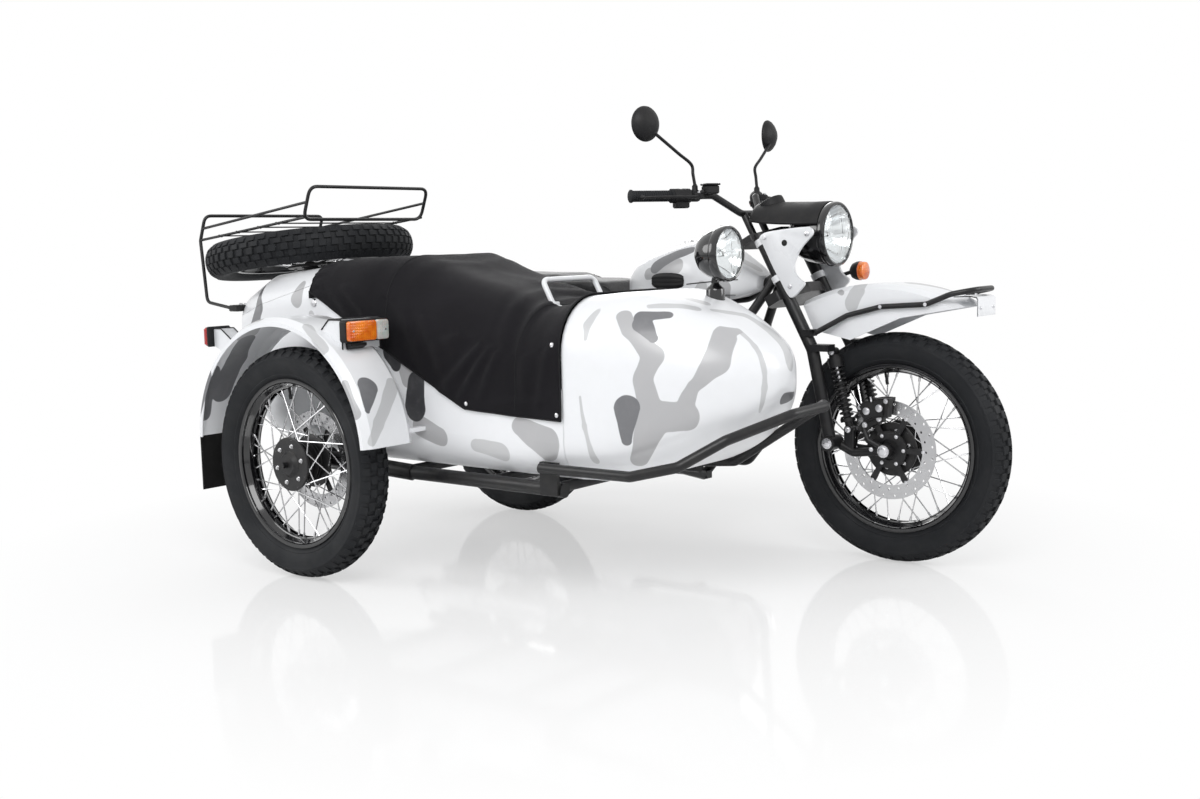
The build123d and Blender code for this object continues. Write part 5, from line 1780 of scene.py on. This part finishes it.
def controls_shape():
    shape = Shape()
    for side in (-1, 1):
        place = bar_frame(side)
        grip = [(0.1, -14), (17, -14), (20, -12), (20, -8), (17, -6)]
        for k in range(17):
            grip += [
                (17.2, -4 + k * 7.4), (17.2, 0.6 + k * 7.4), (15.9, 1.2 + k * 7.4), (15.9, 2.6 + k * 7.4),
            ]
        grip += [(17, 122), (22, 124), (22, 130), (12, 131)]
        shape.lathe(grip, place, 28, 0)
        housing = [
            (11, 128), (19, 129), (22, 132), (22.5, 150), (21, 160), (22.5, 164), (22.5, 186), (20, 190),
            (11.5, 191),
        ]
        shape.lathe(housing, place, 32, 1)
        shape.block(mm(-16, 136, -38), mm(16, 182, -16), 1, 4.0, place)
        shape.block(mm(-22, 140, -30), mm(-15, 178, -6), 1, 2.0, place)
        for k, colour in ((0, 3), (1, 1)):
            shape.lathe(
                [(0.1, 4), (4.5, 3.4), (5.2, 0)],
                place @ facing("back", mm(-22, 150 + 17 * k, -18 + 3 * k)), 14, colour,
            )
        perch = [(11.2, 192), (18, 193), (18.5, 197), (18.5, 214), (17, 219), (11.2, 220)]
        shape.lathe(perch, place, 28, 1)
        lever = smooth_path(
            [
                place @ (Vector(p) * MM)
                for p in (
                    (26, 206, -3), (40, 196, -4), (50, 160, -5), (52, 104, -5), (48, 54, -5), (38, 16, -5),
                )
            ],
            8,
        )
        radii = [6.5 - 2.4 * k / (len(lever) - 1) for k in range(len(lever))]
        shape.tube(lever, radii, 10, 1)
        tip = place @ mm(37, 12, -5)
        shape.lathe(
            [(0.1, -8), (5, -6.6), (8, 0), (5, 6.6), (0.1, 8)],
            Matrix.Translation(tip) @ place.to_3x3().to_4x4(), 18, 1,
        )
        shape.block(mm(10, 194, -12), mm(38, 220, 8), 1, 4.0, place)
        shape.bolt(place @ mm(28, 207, 8), (0, 0, 1), 5.0, 5.0, 2)
        foot = place @ facing("up", mm(2, 206, 12))
        shape.lathe([(0.1, 24), (5, 24), (7, 20), (9, 18), (9.5, 6), (12, 2), (12, -4)], foot, 20, 1)
    place = bar_frame(-1)
    shape.block(mm(8, 224, 4), mm(50, 268, 30), 1, 4.0, place)
    shape.block(mm(5, 221, 30), mm(53, 271, 36), 1, 3.0, place)
    for dx, dy in ((12, 228), (46, 264)):
        shape.lathe([(0.1, 1.6), (3.0, 1.2), (3.4, 0)], place @ facing("up", mm(dx, dy, 36)), 12, 2)
    shape.tube([place @ (Vector(p) * MM) for p in ((28, 224, 12), (26, 216, 8), (20, 208, 2))], 8.0, 12, 1)
    return shape.mesh("bar_controls_set", RUBBER, BLACK_PLASTIC, ZINC, DIAL_NEEDLE)


stand("bar_controls_set", controls_shape(), "steering", "black_plastic", "bar_controls")

# %% Mirrors
MIRRORS = [
    # side, glass centre (x, y, z), knee of the stem (x, y, z)
    (-1, (868.0, -372.0, 1322.0), (902.0, -186.0, 1206.0)),
    (1, (868.0, 330.0, 1318.0), (902.0, 186.0, 1206.0)),
]


def mirrors_shape():
    shape = Shape()
    for side, glass, knee in MIRRORS:
        foot = along_bar(side, 206, 2, 34)
        middle = at(*glass)
        neck = middle + mm(16, side * -14, -24)
        shape.tube(
            smooth_path([foot, (foot + at(*knee)) / 2, at(*knee), at(*knee).lerp(neck, 0.35), neck], 7),
            5.0, 12, 0,
        )
        shape.tube(
            [neck + mm(-2, side * 3, 2), neck.lerp(middle, 0.2), middle + mm(12, 0, -4)], [6.5, 10.0, 15.0],
            14, 0,
        )
        place = Matrix.Translation(middle) @ Matrix.Rotation(radians(-90 + side * 12), 4, "Z")
        dish = [(0.1, 27), (20, 25), (36, 17), (47, 8), (52, 1), (53, -4), (52, -7), (49.5, -7)]
        shape.lathe(dish, place, 56, 0)
        shape.lathe([(49.5, -7), (49.4, -5.5), (25, -5.6), (0.1, -5.7)], place, 56, 1)
    return shape.mesh("mirror_pair", BLACK_PLASTIC, MIRROR_GLASS)


stand("mirror_pair", mirrors_shape(), "steering", "black_plastic", "mirrors")
print("handlebar ready")

# %% [markdown]
# ## Indicators and marker lamps
# The amber indicator is a small drum on a stalk. The sidecar's front marker is one wide
# lens, amber outside and clear inside, on a white bracket edged with a black rubber seal.

# %% Front indicator
def indicator_shape():
    shape = Shape()
    place = facing("ahead", at(1290, 184, 866))
    shape.lathe([(0.1, -36), (14, -34), (24, -26), (29, -14), (30, -4), (30, 0)], place, 40, 0)
    shape.lathe([(30, 0), (28.5, 2), (28.5, 12), (27, 16), (20, 19), (0.1, 20)], place, 40, 1)
    shape.tube([at(1228, 146, 850), at(1232, 158, 852), at(1262, 180, 864)], 6.0, 12, 0)
    shape.lathe([(0.1, 8), (9, 8), (12, 5), (12, 0)], Matrix.Translation(at(1226, EAR_OUT, 850)), 20, 2)
    return shape.mesh("front_turn_lamp", BLACK_PLASTIC, AMBER, ZINC)


stand("front_turn_lamp", indicator_shape(), "steering", "amber", "front_indicator")

# %% Lamps on the sidecar's mudguard
def rounded_slab(shape, low, high, radius, slot, crown=0.0):
    """A slab standing across X with rounded corners, its front face crowned a little."""
    y0, y1, z0, z1 = low[1], high[1], low[2], high[2]

    def loop(x, inset):
        points = []
        for cy, cz, start in ((y1, z1, 0), (y0, z1, 90), (y0, z0, 180), (y1, z0, 270)):
            sy, sz = (-1 if cy == y1 else 1), (-1 if cz == z1 else 1)
            oy, oz = cy + sy * radius, cz + sz * radius
            for k in range(6):
                turn = radians(start + 18 * k)
                points.append(at(x, oy + (radius - inset) * cos(turn), oz + (radius - inset) * sin(turn)))
        return points

    rows = [loop(low[0], 0.0), loop(high[0] - 2.0, 0.0), loop(high[0] - 0.5, 1.0), loop(high[0], 3.0)]
    shape.grid(rows, slot, close_columns=True)
    middle = at(high[0] + crown, (y0 + y1) / 2, (z0 + z1) / 2)
    n, total = len(rows[0]), len(shape.verts)
    shape.verts.append(tuple(middle))
    for j in range(n):
        shape.faces.append((total - n + j, total - n + (j + 1) % n, total))
        shape.slots.append(slot)
    shape.cap(n, 4 * n + 1, slot, flip=True)


def marker_shape():
    shape = Shape()
    prism_between(shape, [(374, 690), (374, 772), (322, 772), (290, 740), (330, 712)], -1160, -1020, 0)
    seal = [(376, 690), (376, 774), (321, 774), (287, 743)]
    for y in (-1161, -1019):
        shape.tube(bent_path([at(x, y, z) for x, z in seal], 6.0, 4), 2.2, 8, 1)
    shape.tube([at(321, -1161, 774), at(321, -1019, 774)], 2.2, 8, 1)
    rounded_slab(shape, (374, -1168, 710), (398, -1012, 774), 9.0, 1)
    rounded_slab(shape, (396, -1164, 714), (412, -1062, 770), 8.0, 2, 2.0)
    rounded_slab(shape, (396, -1059, 714), (412, -1016, 770), 8.0, 3, 1.0)
    for y in (-1150, -1030):
        shape.lathe([(0.1, 1.5), (2.8, 1.0), (3.2, 0)], facing("ahead", at(412.5, y, 742)), 12, 4)
    prism_between(shape, [(398, 700), (398, 708), (376, 708), (380, 690)], -1150, -1090, 1)
    return shape.mesh("front_marker_lamp", WHITE_ENAMEL, BLACK_PLASTIC, AMBER, FROST, ZINC)


stand("front_marker_lamp", marker_shape(), "outfit", "amber", "car_front_lamp")


def rear_marker():
    shape = Shape()
    prism_between(shape, [(-226, 684), (-226, 736), (-190, 736), (-118, 690), (-160, 652)], -1150, -1104, 0)
    for y in (-1151, -1103):
        shape.tube([at(-226, y, 738), at(-190, y, 738), at(-120, y, 692)], 2.0, 8, 1)
    shape.box((-236, -226), (-1172, -1088), (682, 744), 1, 3.0)
    shape.box((-256, -236), (-1170, -1090), (684, 742), 2, 6.0)
    return shape.mesh("rear_marker_lamp", WHITE_ENAMEL, BLACK_PLASTIC, RED)


stand("rear_marker_lamp", rear_marker(), "outfit", "red", "car_rear_lamp")
print("marker lamps ready")

# %% [markdown]
# ## Brake disc and calliper
# A disc is a flat ring of steel drilled with small holes, riveted to a black carrier.
# Cutting 48 holes with Boolean modifiers is slow and leaves long thin faces, so each
# sector of the ring is drawn with its hole already in it, and the sectors are repeated.

# %% Drilled disc
DISC_OUT, DISC_MIDDLE, DISC_IN, DISC_FACE = 147.5, 127.0, 106.0, 59.0
DISC_HOLE_R = 4.2
SECTORS = 24


def disc_shape():
    shape = Shape()
    faces = (-DISC_FACE - 5.0, -DISC_FACE)
    spread = 2 * pi / SECTORS

    def polar(r, turn, y):
        return mm(r * cos(turn), y, r * sin(turn))

    for inner, outer, shift in ((DISC_IN, DISC_MIDDLE, 0.0), (DISC_MIDDLE, DISC_OUT, 0.5)):
        for i in range(SECTORS):
            middle = (i + shift) * spread
            hole_r = 0.5 * (inner + outer)
            rim, hole = [], []
            corners = [(inner, -0.5), (inner, 0.0), (inner, 0.5), (0.5 * (inner + outer), 0.5),
                       (outer, 0.5), (outer, 0.0), (outer, -0.5), (0.5 * (inner + outer), -0.5)]
            for r, turn in corners:
                rim.append((r, middle + turn * spread))
                dx, dy = turn * spread * hole_r, r - hole_r
                reach = hypot(dx, dy)
                hole.append((hole_r + dy / reach * DISC_HOLE_R, middle + dx / reach * DISC_HOLE_R / hole_r))
            rows = [[polar(r, t, y) for r, t in loop] for y, loop in
                    ((faces[0], rim), (faces[0], hole), (faces[1], hole), (faces[1], rim))]
            shape.grid(rows, 0, close_columns=True)
    for r in (DISC_IN, DISC_OUT):
        shape.lathe([(r, faces[0]), (r, faces[1])], HERE, SECTORS * 2)
    for i in range(6):
        turn = Matrix.Rotation(i * pi / 3, 4, "Y")
        arm = [(50, -7), (50, 7), (98, 10), (112, 9), (112, -9), (98, -10)]
        rows = [[turn @ mm(x, y, z) for x, z in arm] for y in (-DISC_FACE - 4, -DISC_FACE - 1)]
        shape.grid(rows, 1, close_columns=True)
        shape.cap(6, 12, 1)
        shape.bolt(turn @ mm(108, -DISC_FACE - 5, 0), (0, -1, 0), 4.2, 2.5, 2, 10)
        shape.bolt(turn @ mm(46, -DISC_FACE - 5, 0), (0, -1, 0), 4.6, 4.0, 2)
    shape.lathe([(31, -DISC_FACE), (31, -DISC_FACE - 5), (56, -DISC_FACE - 5), (56, -DISC_FACE)], HERE, 48, 1)
    return shape


front_disc = disc_shape().mesh("drilled_disc", DISC_STEEL, BLACK_ALLOY, ZINC)
stand("front_brake_disc", front_disc, "front_wheel_set", "disc_steel", "front_disc",
      place=Matrix.Translation(at(WHEELBASE, 0, TYRE_R)))
stand("sidecar_brake_disc", front_disc.copy(), "car_wheel_set", "disc_steel", "car_disc",
      place=facing(-1, at(CAR_LEAD, -TRACK, TYRE_R)))

# %% Calliper
def calliper_shape():
    shape = Shape()

    def around(r, angle, y):
        """A place beside the front wheel, by radius and angle about its axle."""
        return at(WHEELBASE + r * cos(radians(angle)), y, TYRE_R + r * sin(radians(angle)))

    def sector(y0, y1, r0, r1, start, end, slot=0):
        rows = []
        for y in (y0, y1):
            loop = (
                [(r1, start + (end - start) * k / 8) for k in range(9)]
                + [(r0, end - (end - start) * k / 8) for k in range(9)]
            )
            rows.append([around(r, angle, y) for r, angle in loop])
        shape.grid(rows, slot, close_columns=True)
        shape.cap(18, 36, slot)
        shape.cap(18, slot=slot, flip=True)

    sector(-96, -68, 100, 156, 84, 126)
    sector(-106, -96, 106, 150, 90, 120)
    sector(-57, -42, 108, 156, 86, 124)
    sector(-68, -57, 150, 158, 88, 122)
    sector(-82, -68, 84, 112, 96, 148)
    for r, a, size in ((128, 95, 9), (128, 114, 9), (148, 88, 6), (148, 122, 6), (100, 134, 7), (96, 104, 7)):
        head = around(r, a, -106 if size == 9 else (-96 if r == 148 else -82))
        shape.bolt(head, (0, -1, 0), size, 6.0, 1, 6 if size < 9 else 14)
    nipple = at(WHEELBASE + 140 * cos(radians(105)), -104, TYRE_R + 152 * sin(radians(105)))
    shape.tube([nipple, nipple + Vector((0, -0.006, 0.014))], 3.4, 8, 1)
    arm = [around(96, 140, -81), at(1450, -84, 372), at(WHEELBASE, -86, TYRE_R)]
    shape.tube(arm, [8.0, 9.0, 12.0], 12, 0)
    return shape.mesh("front_calliper", BLACK_ALLOY, ZINC)


stand("front_calliper", calliper_shape(), "steering", "black_frame")
print("brakes ready")

# %% [markdown]
# ## Spring legs
# A spring leg is a damper with a coil wound round it, an eye at each end. The coil is a
# helix swept with a round wire. Blender's Screw modifier could wind it too, but a helix
# worked out point by point leans along the leg without a second object to aim it.

# %% Coil springs, links and the rear drive
def coil_leg(shape, low, high, radius, turns, wire, eye_half=14.0):
    low, high = Vector(low), Vector(high)
    way = (high - low).normalized()
    side = way.cross(Vector((0, 1, 0))).normalized()
    other = way.cross(side)
    length = (high - low).length
    start, end = low + way * (0.15 * length), high - way * (0.20 * length)
    helix = []
    for k in range(turns * 14 + 1):
        t = k / (turns * 14)
        turn = 2 * pi * turns * t
        helix.append(start.lerp(end, t) + (side * cos(turn) + other * sin(turn)) * (radius - wire) * MM)
    shape.tube(helix, wire, 8, 0)
    shape.tube([low, low.lerp(high, 0.62)], radius * 0.55, 18, 0)
    shape.tube([low.lerp(high, 0.62), high], radius * 0.28, 12, 1)
    for a, b, r in ((0.10, 0.145, radius * 1.08), (0.80, 0.93, radius * 1.08), (0.93, 0.96, radius * 0.8)):
        shape.tube([low.lerp(high, a), low.lerp(high, b)], r, 24, 0)
    for eye in (low, high):
        shape.tube([eye - mm(0, eye_half, 0), eye + mm(0, eye_half, 0)], 13.0, 20, 0)
        for way_out in (-1, 1):
            shape.bolt(eye + mm(0, way_out * eye_half, 0), (0, way_out, 0), 7.5, 6.0, 1)


LINK_PIVOT = (1345.0, 362.0)


def link_shape():
    shape = Shape()
    x, z = LINK_PIVOT
    for side in (-1, 1):
        y = side * 86.0
        run = [at(x - 6, y, z), at(x + 60, y, z - 30), at(WHEELBASE, y, TYRE_R)]
        shape.tube(bent_path(run, 30.0, 8), 13.0, 18, 0)
        shape.tube([at(x, y - 13, z), at(x, y + 13, z)], 20.0, 26, 0)
        shape.box((x + 30, x + 62), (y - 9, y + 9), (z - 26, 404), 0, 3.0)
        coil_leg(shape, at(1392, y, 402), at(1338, y, 632), 21.0, 11, 3.4)
        shape.tube([at(WHEELBASE, y - 15, TYRE_R), at(WHEELBASE, y + 15, TYRE_R)], 21.0, 28, 0)
        shape.bolt(at(WHEELBASE, y + side * 15, TYRE_R), (0, side, 0), 15.0, 11.0, 1)
        shape.bolt(at(x, side * 142, z), (0, side, 0), 13.0, 8.0, 1)
        shape.bolt(at(WHEELBASE - 40, side * 99, TYRE_R + 3), (0, side, 0), 5.5, 5.0, 1)
    shape.tube([at(WHEELBASE, -100, TYRE_R), at(WHEELBASE, 100, TYRE_R)], 9.0, 18, 1)
    return shape.mesh("leading_link_set", BLACK_FRAME, ZINC)


stand("leading_link_set", link_shape(), "steering", "black_frame", "front_link")


SWING_X, SWING_Z = 375.0, 415.0


def drive_shape():
    shape = Shape()
    shape.tube([at(0, -150, TYRE_R), at(0, 150, TYRE_R)], 9.0, 18, 1)
    axle = Matrix.Translation(at(0, 0, TYRE_R))
    case = [
        (40, -64), (82, -66), (86, -70), (86, -80), (82, -84), (82, -96), (76, -106), (52, -116),
        (30, -122), (0.1, -122),
    ]
    shape.lathe(case, axle, 72, 0)
    for i in range(8):
        turn = 2 * pi * (i + 0.5) / 8
        shape.bolt(at(78 * cos(turn), -86, TYRE_R + 78 * sin(turn)), (0, -1, 0), 5.0, 6.0, 1)
    shape.bolt(at(46, -116, TYRE_R - 30), (0, -1, 0), 10.0, 7.0, 1)
    shape.tube([at(20, -84, TYRE_R), at(SWING_X, -84, SWING_Z)], [30.0, 24.0], 28, 0)
    for t in (0.30, 0.86):
        a, b = at(20, -84, TYRE_R), at(SWING_X, -84, SWING_Z)
        shape.tube([a.lerp(b, t), a.lerp(b, t + 0.04)], 30.0, 28, 0)
    shape.tube([at(0, 90, TYRE_R), at(SWING_X, 90, SWING_Z)], 16.0, 20, 0)
    shape.tube([at(0, 76, TYRE_R), at(0, 104, TYRE_R)], 28.0, 32, 0)
    shape.bolt(at(0, 104, TYRE_R), (0, 1, 0), 15.0, 14.0, 1)
    shape.tube([at(SWING_X, -109, SWING_Z), at(SWING_X, 109, SWING_Z)], 17.0, 20, 0)
    shape.box((-25, 5), (76, 104), (335, 412), 0, 3.0)
    shape.tube([at(-10, -190, 400), at(-10, -70, 400)], 12.0, 18, 0)
    shape.tube([at(-10, 78, 400), at(-10, 190, 400)], 12.0, 18, 0)
    for y in (-172.0, 172.0):
        coil_leg(shape, at(-10, y, 400), at(45, y, 742), 28.0, 11, 4.6, 16.0)
    return shape.mesh("rear_drive_set", BLACK_ALLOY, ZINC)


stand("rear_drive_set", drive_shape(), "outfit", "black_frame", "rear_drive")
print("spring legs ready")

# %% [markdown]
# ## Engine trim
# The crankcase and the finned barrels carry covers, caps, pipes and nuts that tell the
# flat twin apart from a block: ribbed rocker covers, pushrod tubes, carburettors with
# rubber bends to the air box, a round front cover, sump fins and a kick lever.

# %% Covers, pipes and nuts
CYLINDER = (745.0, 430.0)
CRANK_Z = 450.0
CLUTCH_X, CLUTCH_Z = 480.0, 415.0


def engine_trim():
    shape = Shape()
    cx, cz = CYLINDER
    nose = facing("ahead", at(940, 0, CRANK_Z))
    shape.lathe([(96, -6), (99, -2), (97, 6), (84, 12), (60, 15), (40, 22), (0.1, 23)], nose, 72, 0)
    for i in range(8):
        turn = 2 * pi * i / 8
        shape.bolt(at(946, 88 * cos(turn), CRANK_Z + 88 * sin(turn)), (1, 0, 0), 5.5, 6.0, 2)
    for k in range(9):
        y = -84 + 21 * k
        shape.box((585, 885), (y - 2, y + 2), (249, 264), 0, 1.0)
    for side in (-1, 1):
        cover = facing(side, at(CLUTCH_X, side * 75, CLUTCH_Z))
        shape.lathe([(72, -2), (72, 5), (66, 9), (0.1, 11)], cover, 56, 0)
        for i in range(6):
            turn = 2 * pi * i / 6
            head = at(CLUTCH_X + 62 * cos(turn), side * 84, CLUTCH_Z + 62 * sin(turn))
            shape.bolt(head, (0, side, 0), 4.5, 5.0, 2)
        for k in range(7):
            z = 300 + 36 * k
            for xs in ((575, 655), (838, 905)):
                shape.box(xs, (side * 99, side * 104), (z - 2, z + 2), 0, 1.0)
        shape.lathe([(78, -1), (78, 8), (70, 12), (62, 12)], facing(side, at(cx, side * 100, cz)), 56, 0)
        for dx in (-34, 34):
            shape.tube([at(cx + dx, side * 98, cz - 62), at(cx + dx, side * 296, cz - 66)], 8.0, 16, 1)
            for y in (112, 284):
                shape.tube(
                    [at(cx + dx, side * (y - 6), cz - 62), at(cx + dx, side * (y + 6), cz - 62)], 11.0, 16,
                    3,
                )
        shape.box((cx - 64, cx + 64), (side * 349, side * 364), (cz - 80, cz + 80), 0, 9.0)
        for k in range(5):
            z = cz - 52 + 26 * k
            shape.box((cx - 50, cx + 50), (side * 360, side * 369), (z - 4, z + 4), 0, 3.0)
        shape.bolt(at(cx, side * 366, cz), (0, side, 0), 8.0, 8.0, 2)
        collar = facing("ahead", at(cx + 64, side * 322, cz - 20))
        shape.lathe(
            [(22, 0), (31, 1), (31, 6), (24, 8), (24, 11), (31, 13), (31, 18), (22, 20)], collar, 36, 2,
        )
        shape.tube([at(cx + 56, side * 300, cz + 40), at(cx + 92, side * 306, cz + 68)], [10.0, 9.0], 16, 3)
        carb = facing("back", at(cx - 62, side * 286, cz + 28))
        shape.lathe([(22, -2), (22, 14), (27, 16), (27, 62), (23, 66), (23, 74)], carb, 32, 0)
        bowl = facing("up", at(cx - 102, side * 286, cz - 4))
        shape.lathe([(0.1, -34), (24, -32), (26, -28), (26, 12), (22, 14)], bowl, 30, 0)
        dome = facing("up", at(cx - 102, side * 286, cz + 52))
        shape.lathe([(22, -6), (28, -4), (28, 22), (24, 28), (0.1, 30)], dome, 32, 3)
        bend = smooth_path(
            [
                at(cx - 130, side * 286, cz + 28), at(cx - 172, side * 278, cz + 60),
                at(cx - 168, side * 200, cz + 130), at(cx - 110, side * 88, cz + 160),
            ],
            9,
        )
        shape.tube(bend, 19.0, 20, 3)
        shape.tube([bend[1], bend[2]], 21.0, 20, 2)
        peg = at(620, side * 186, 252)
        shape.tube([at(620, side * 124, 240), peg, at(620, side * 262, 258)], 9.0, 14, 3)
        shape.tube([at(620, side * 188, 253), at(620, side * 264, 258)], 16.0, 20, 4)
    shape.box((596, 764), (-94, 94), (562, 646), 3, 10.0)
    for k in range(6):
        x = 614 + 26 * k
        shape.box((x, x + 8), (-96, 96), (575, 640), 3, 2.0)
    kick = bent_path([at(448, 84, 440), at(448, 120, 440), at(430, 136, 600), at(430, 190, 612)], 16.0, 7)
    shape.tube(kick, 8.0, 14, 2)
    shape.tube([at(430, 146, 603), at(430, 196, 613)], 13.0, 18, 4)
    shape.lathe([(0.1, 14), (15, 12), (18, 6), (18, 0)], Matrix.Translation(at(448, 84, 440)), 28, 2)
    lever = bent_path([at(540, 76, 330), at(540, 104, 330), at(650, 128, 318), at(650, 176, 318)], 12.0, 6)
    shape.tube(lever, 6.0, 12, 2)
    shape.tube([at(650, 134, 318), at(650, 180, 318)], 10.0, 14, 4)
    return shape.mesh("engine_trim", ALLOY, CHROME, ZINC, BLACK_PLASTIC, RUBBER)


stand("engine_trim", engine_trim(), "outfit", "engine_alloy")

# %% Silencer ends, side covers and the tail lamp
def rear_trim():
    shape = Shape()
    for side in (-1, 1):
        end = facing("back", at(-330, side * 200, 302))
        shape.lathe(
            [(40, -4), (41, 0), (38, 9), (27, 13), (25, 15), (22, 12), (21, -18), (0.1, -20)], end, 44, 0,
        )
        for x in (286, -40, -300):
            band = facing("back", at(x, side * 200, 308 if x > 0 else 304))
            r = 25 if x > 280 else 41.5
            shape.lathe([(r, -10), (r + 3, -9), (r + 3, 9), (r, 10)], band, 44, 1)
            shape.bolt(at(x, side * (203 + r), 300), (0, side, 0), 5.5, 6.0, 1)
        for k in range(4):
            shape.box((206, 302), (side * 203, side * 209), (600 + 36 * k, 612 + 36 * k), 2, 2.5)
        shape.bolt(at(254, side * 205, 745), (0, side, 0), 8.0, 5.0, 1, 12)
        shape.box((184, 324), (side * 190, side * 207), (568, 762), 2, 8.0)
    shape.box((-402, -352), (-52, 52), (544, 616), 2, 6.0)
    lens = facing("back", at(-402, 0, 580))
    shape.lathe([(34, -4), (34, 12), (30, 17), (14, 20), (0.1, 20.5)], lens, 44, 3)
    shape.lathe([(34, -2), (37, -1), (37, 7), (34, 8)], lens, 44, 0)
    return shape.mesh("rear_trim", CHROME, ZINC, BLACK_PLASTIC, RED)


stand("rear_trim", rear_trim(), "outfit", "pipe_steel")

# %% Small fittings of the sidecar
def small_fittings():
    shape = Shape()
    plug = facing(-1, at(948, -934, 388))
    shape.lathe([(0.1, 12), (19, 11), (24, 7), (25, 0), (25, -22)], plug, 36, 0)
    for x, z in ((-70, 560), (60, 706), (190, 706), (318, 560)):
        shape.bolt(at(x, -1002, z), (0, 1, 0), 5.0, 4.0, 1)
    shape.lathe([(0.1, 9), (11, 8), (14, 4), (15, 0), (15, -4)], facing(-1, at(39, -970, 810)), 28, 1)
    for y in (-1180, -1120, -1060):
        shape.bolt(at(-258, y, 420), (-1, 0, 0), 5.5, 4.0, 1)
    shape.box((-259, -256), (-1196, -1044), (404, 436), 1, 1.0)
    return shape.mesh("small_fittings", BLACK_PLASTIC, ZINC)


stand("small_fittings", small_fittings(), "outfit", "black_plastic")
print("trim ready")

# %% [markdown]
# ## Finishes of the metal frame
# Pieces whose solids are already right only need their finish: powder coat, alloy, chrome,
# enamel or plastic goes into the material slots of each node.

# %% Finishes for the carried-over solids
NODE_FINISH = {
    "frame": BLACK_FRAME, "rear_drive": BLACK_FRAME, "fork": BLACK_FRAME, "front_link": BLACK_FRAME,
    "mudguard_tube": BLACK_FRAME, "handlebar": BLACK_FRAME, "chassis": BLACK_FRAME, "crash_bar": BLACK_FRAME,
    "rack": BLACK_FRAME, "engine": ALLOY, "cylinders": ALLOY, "exhaust": CHROME, "tank": TANK_PAINT,
    "rear_mudguard": GUARD_PAINT, "front_mudguard": GUARD_PAINT, "nose": NOSE_PAINT, "tub": TUB_PAINT,
    "trunk_lid": TUB_PAINT, "car_mudguard": GUARD_PAINT, "fork_ears": WHITE_ENAMEL,
    "grab_handle": WHITE_ENAMEL,
    "mudflap": FLAP_RUBBER, "side_boxes": BLACK_PLASTIC, "bar_controls": BLACK_PLASTIC,
    "mirrors": BLACK_PLASTIC,
    "instruments": BLACK_PLASTIC, "headlight": BLACK_GLOSS, "spot_lamp": BLACK_GLOSS, "headlight_lens": GLASS,
    "spot_lens": GLASS, "front_disc": DISC_STEEL, "car_disc": DISC_STEEL, "tail_lamp": RED,
    "car_front_lamp": AMBER, "car_rear_lamp": RED, "front_indicator": AMBER, "seat": SADDLE,
    "car_seat": SADDLE,
    "cover": CANVAS,
}
for node, material in NODE_FINISH.items():
    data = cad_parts[node].data
    data.materials.clear()
    data.materials.append(material)
print("nodes with a finish:", len(NODE_FINISH))
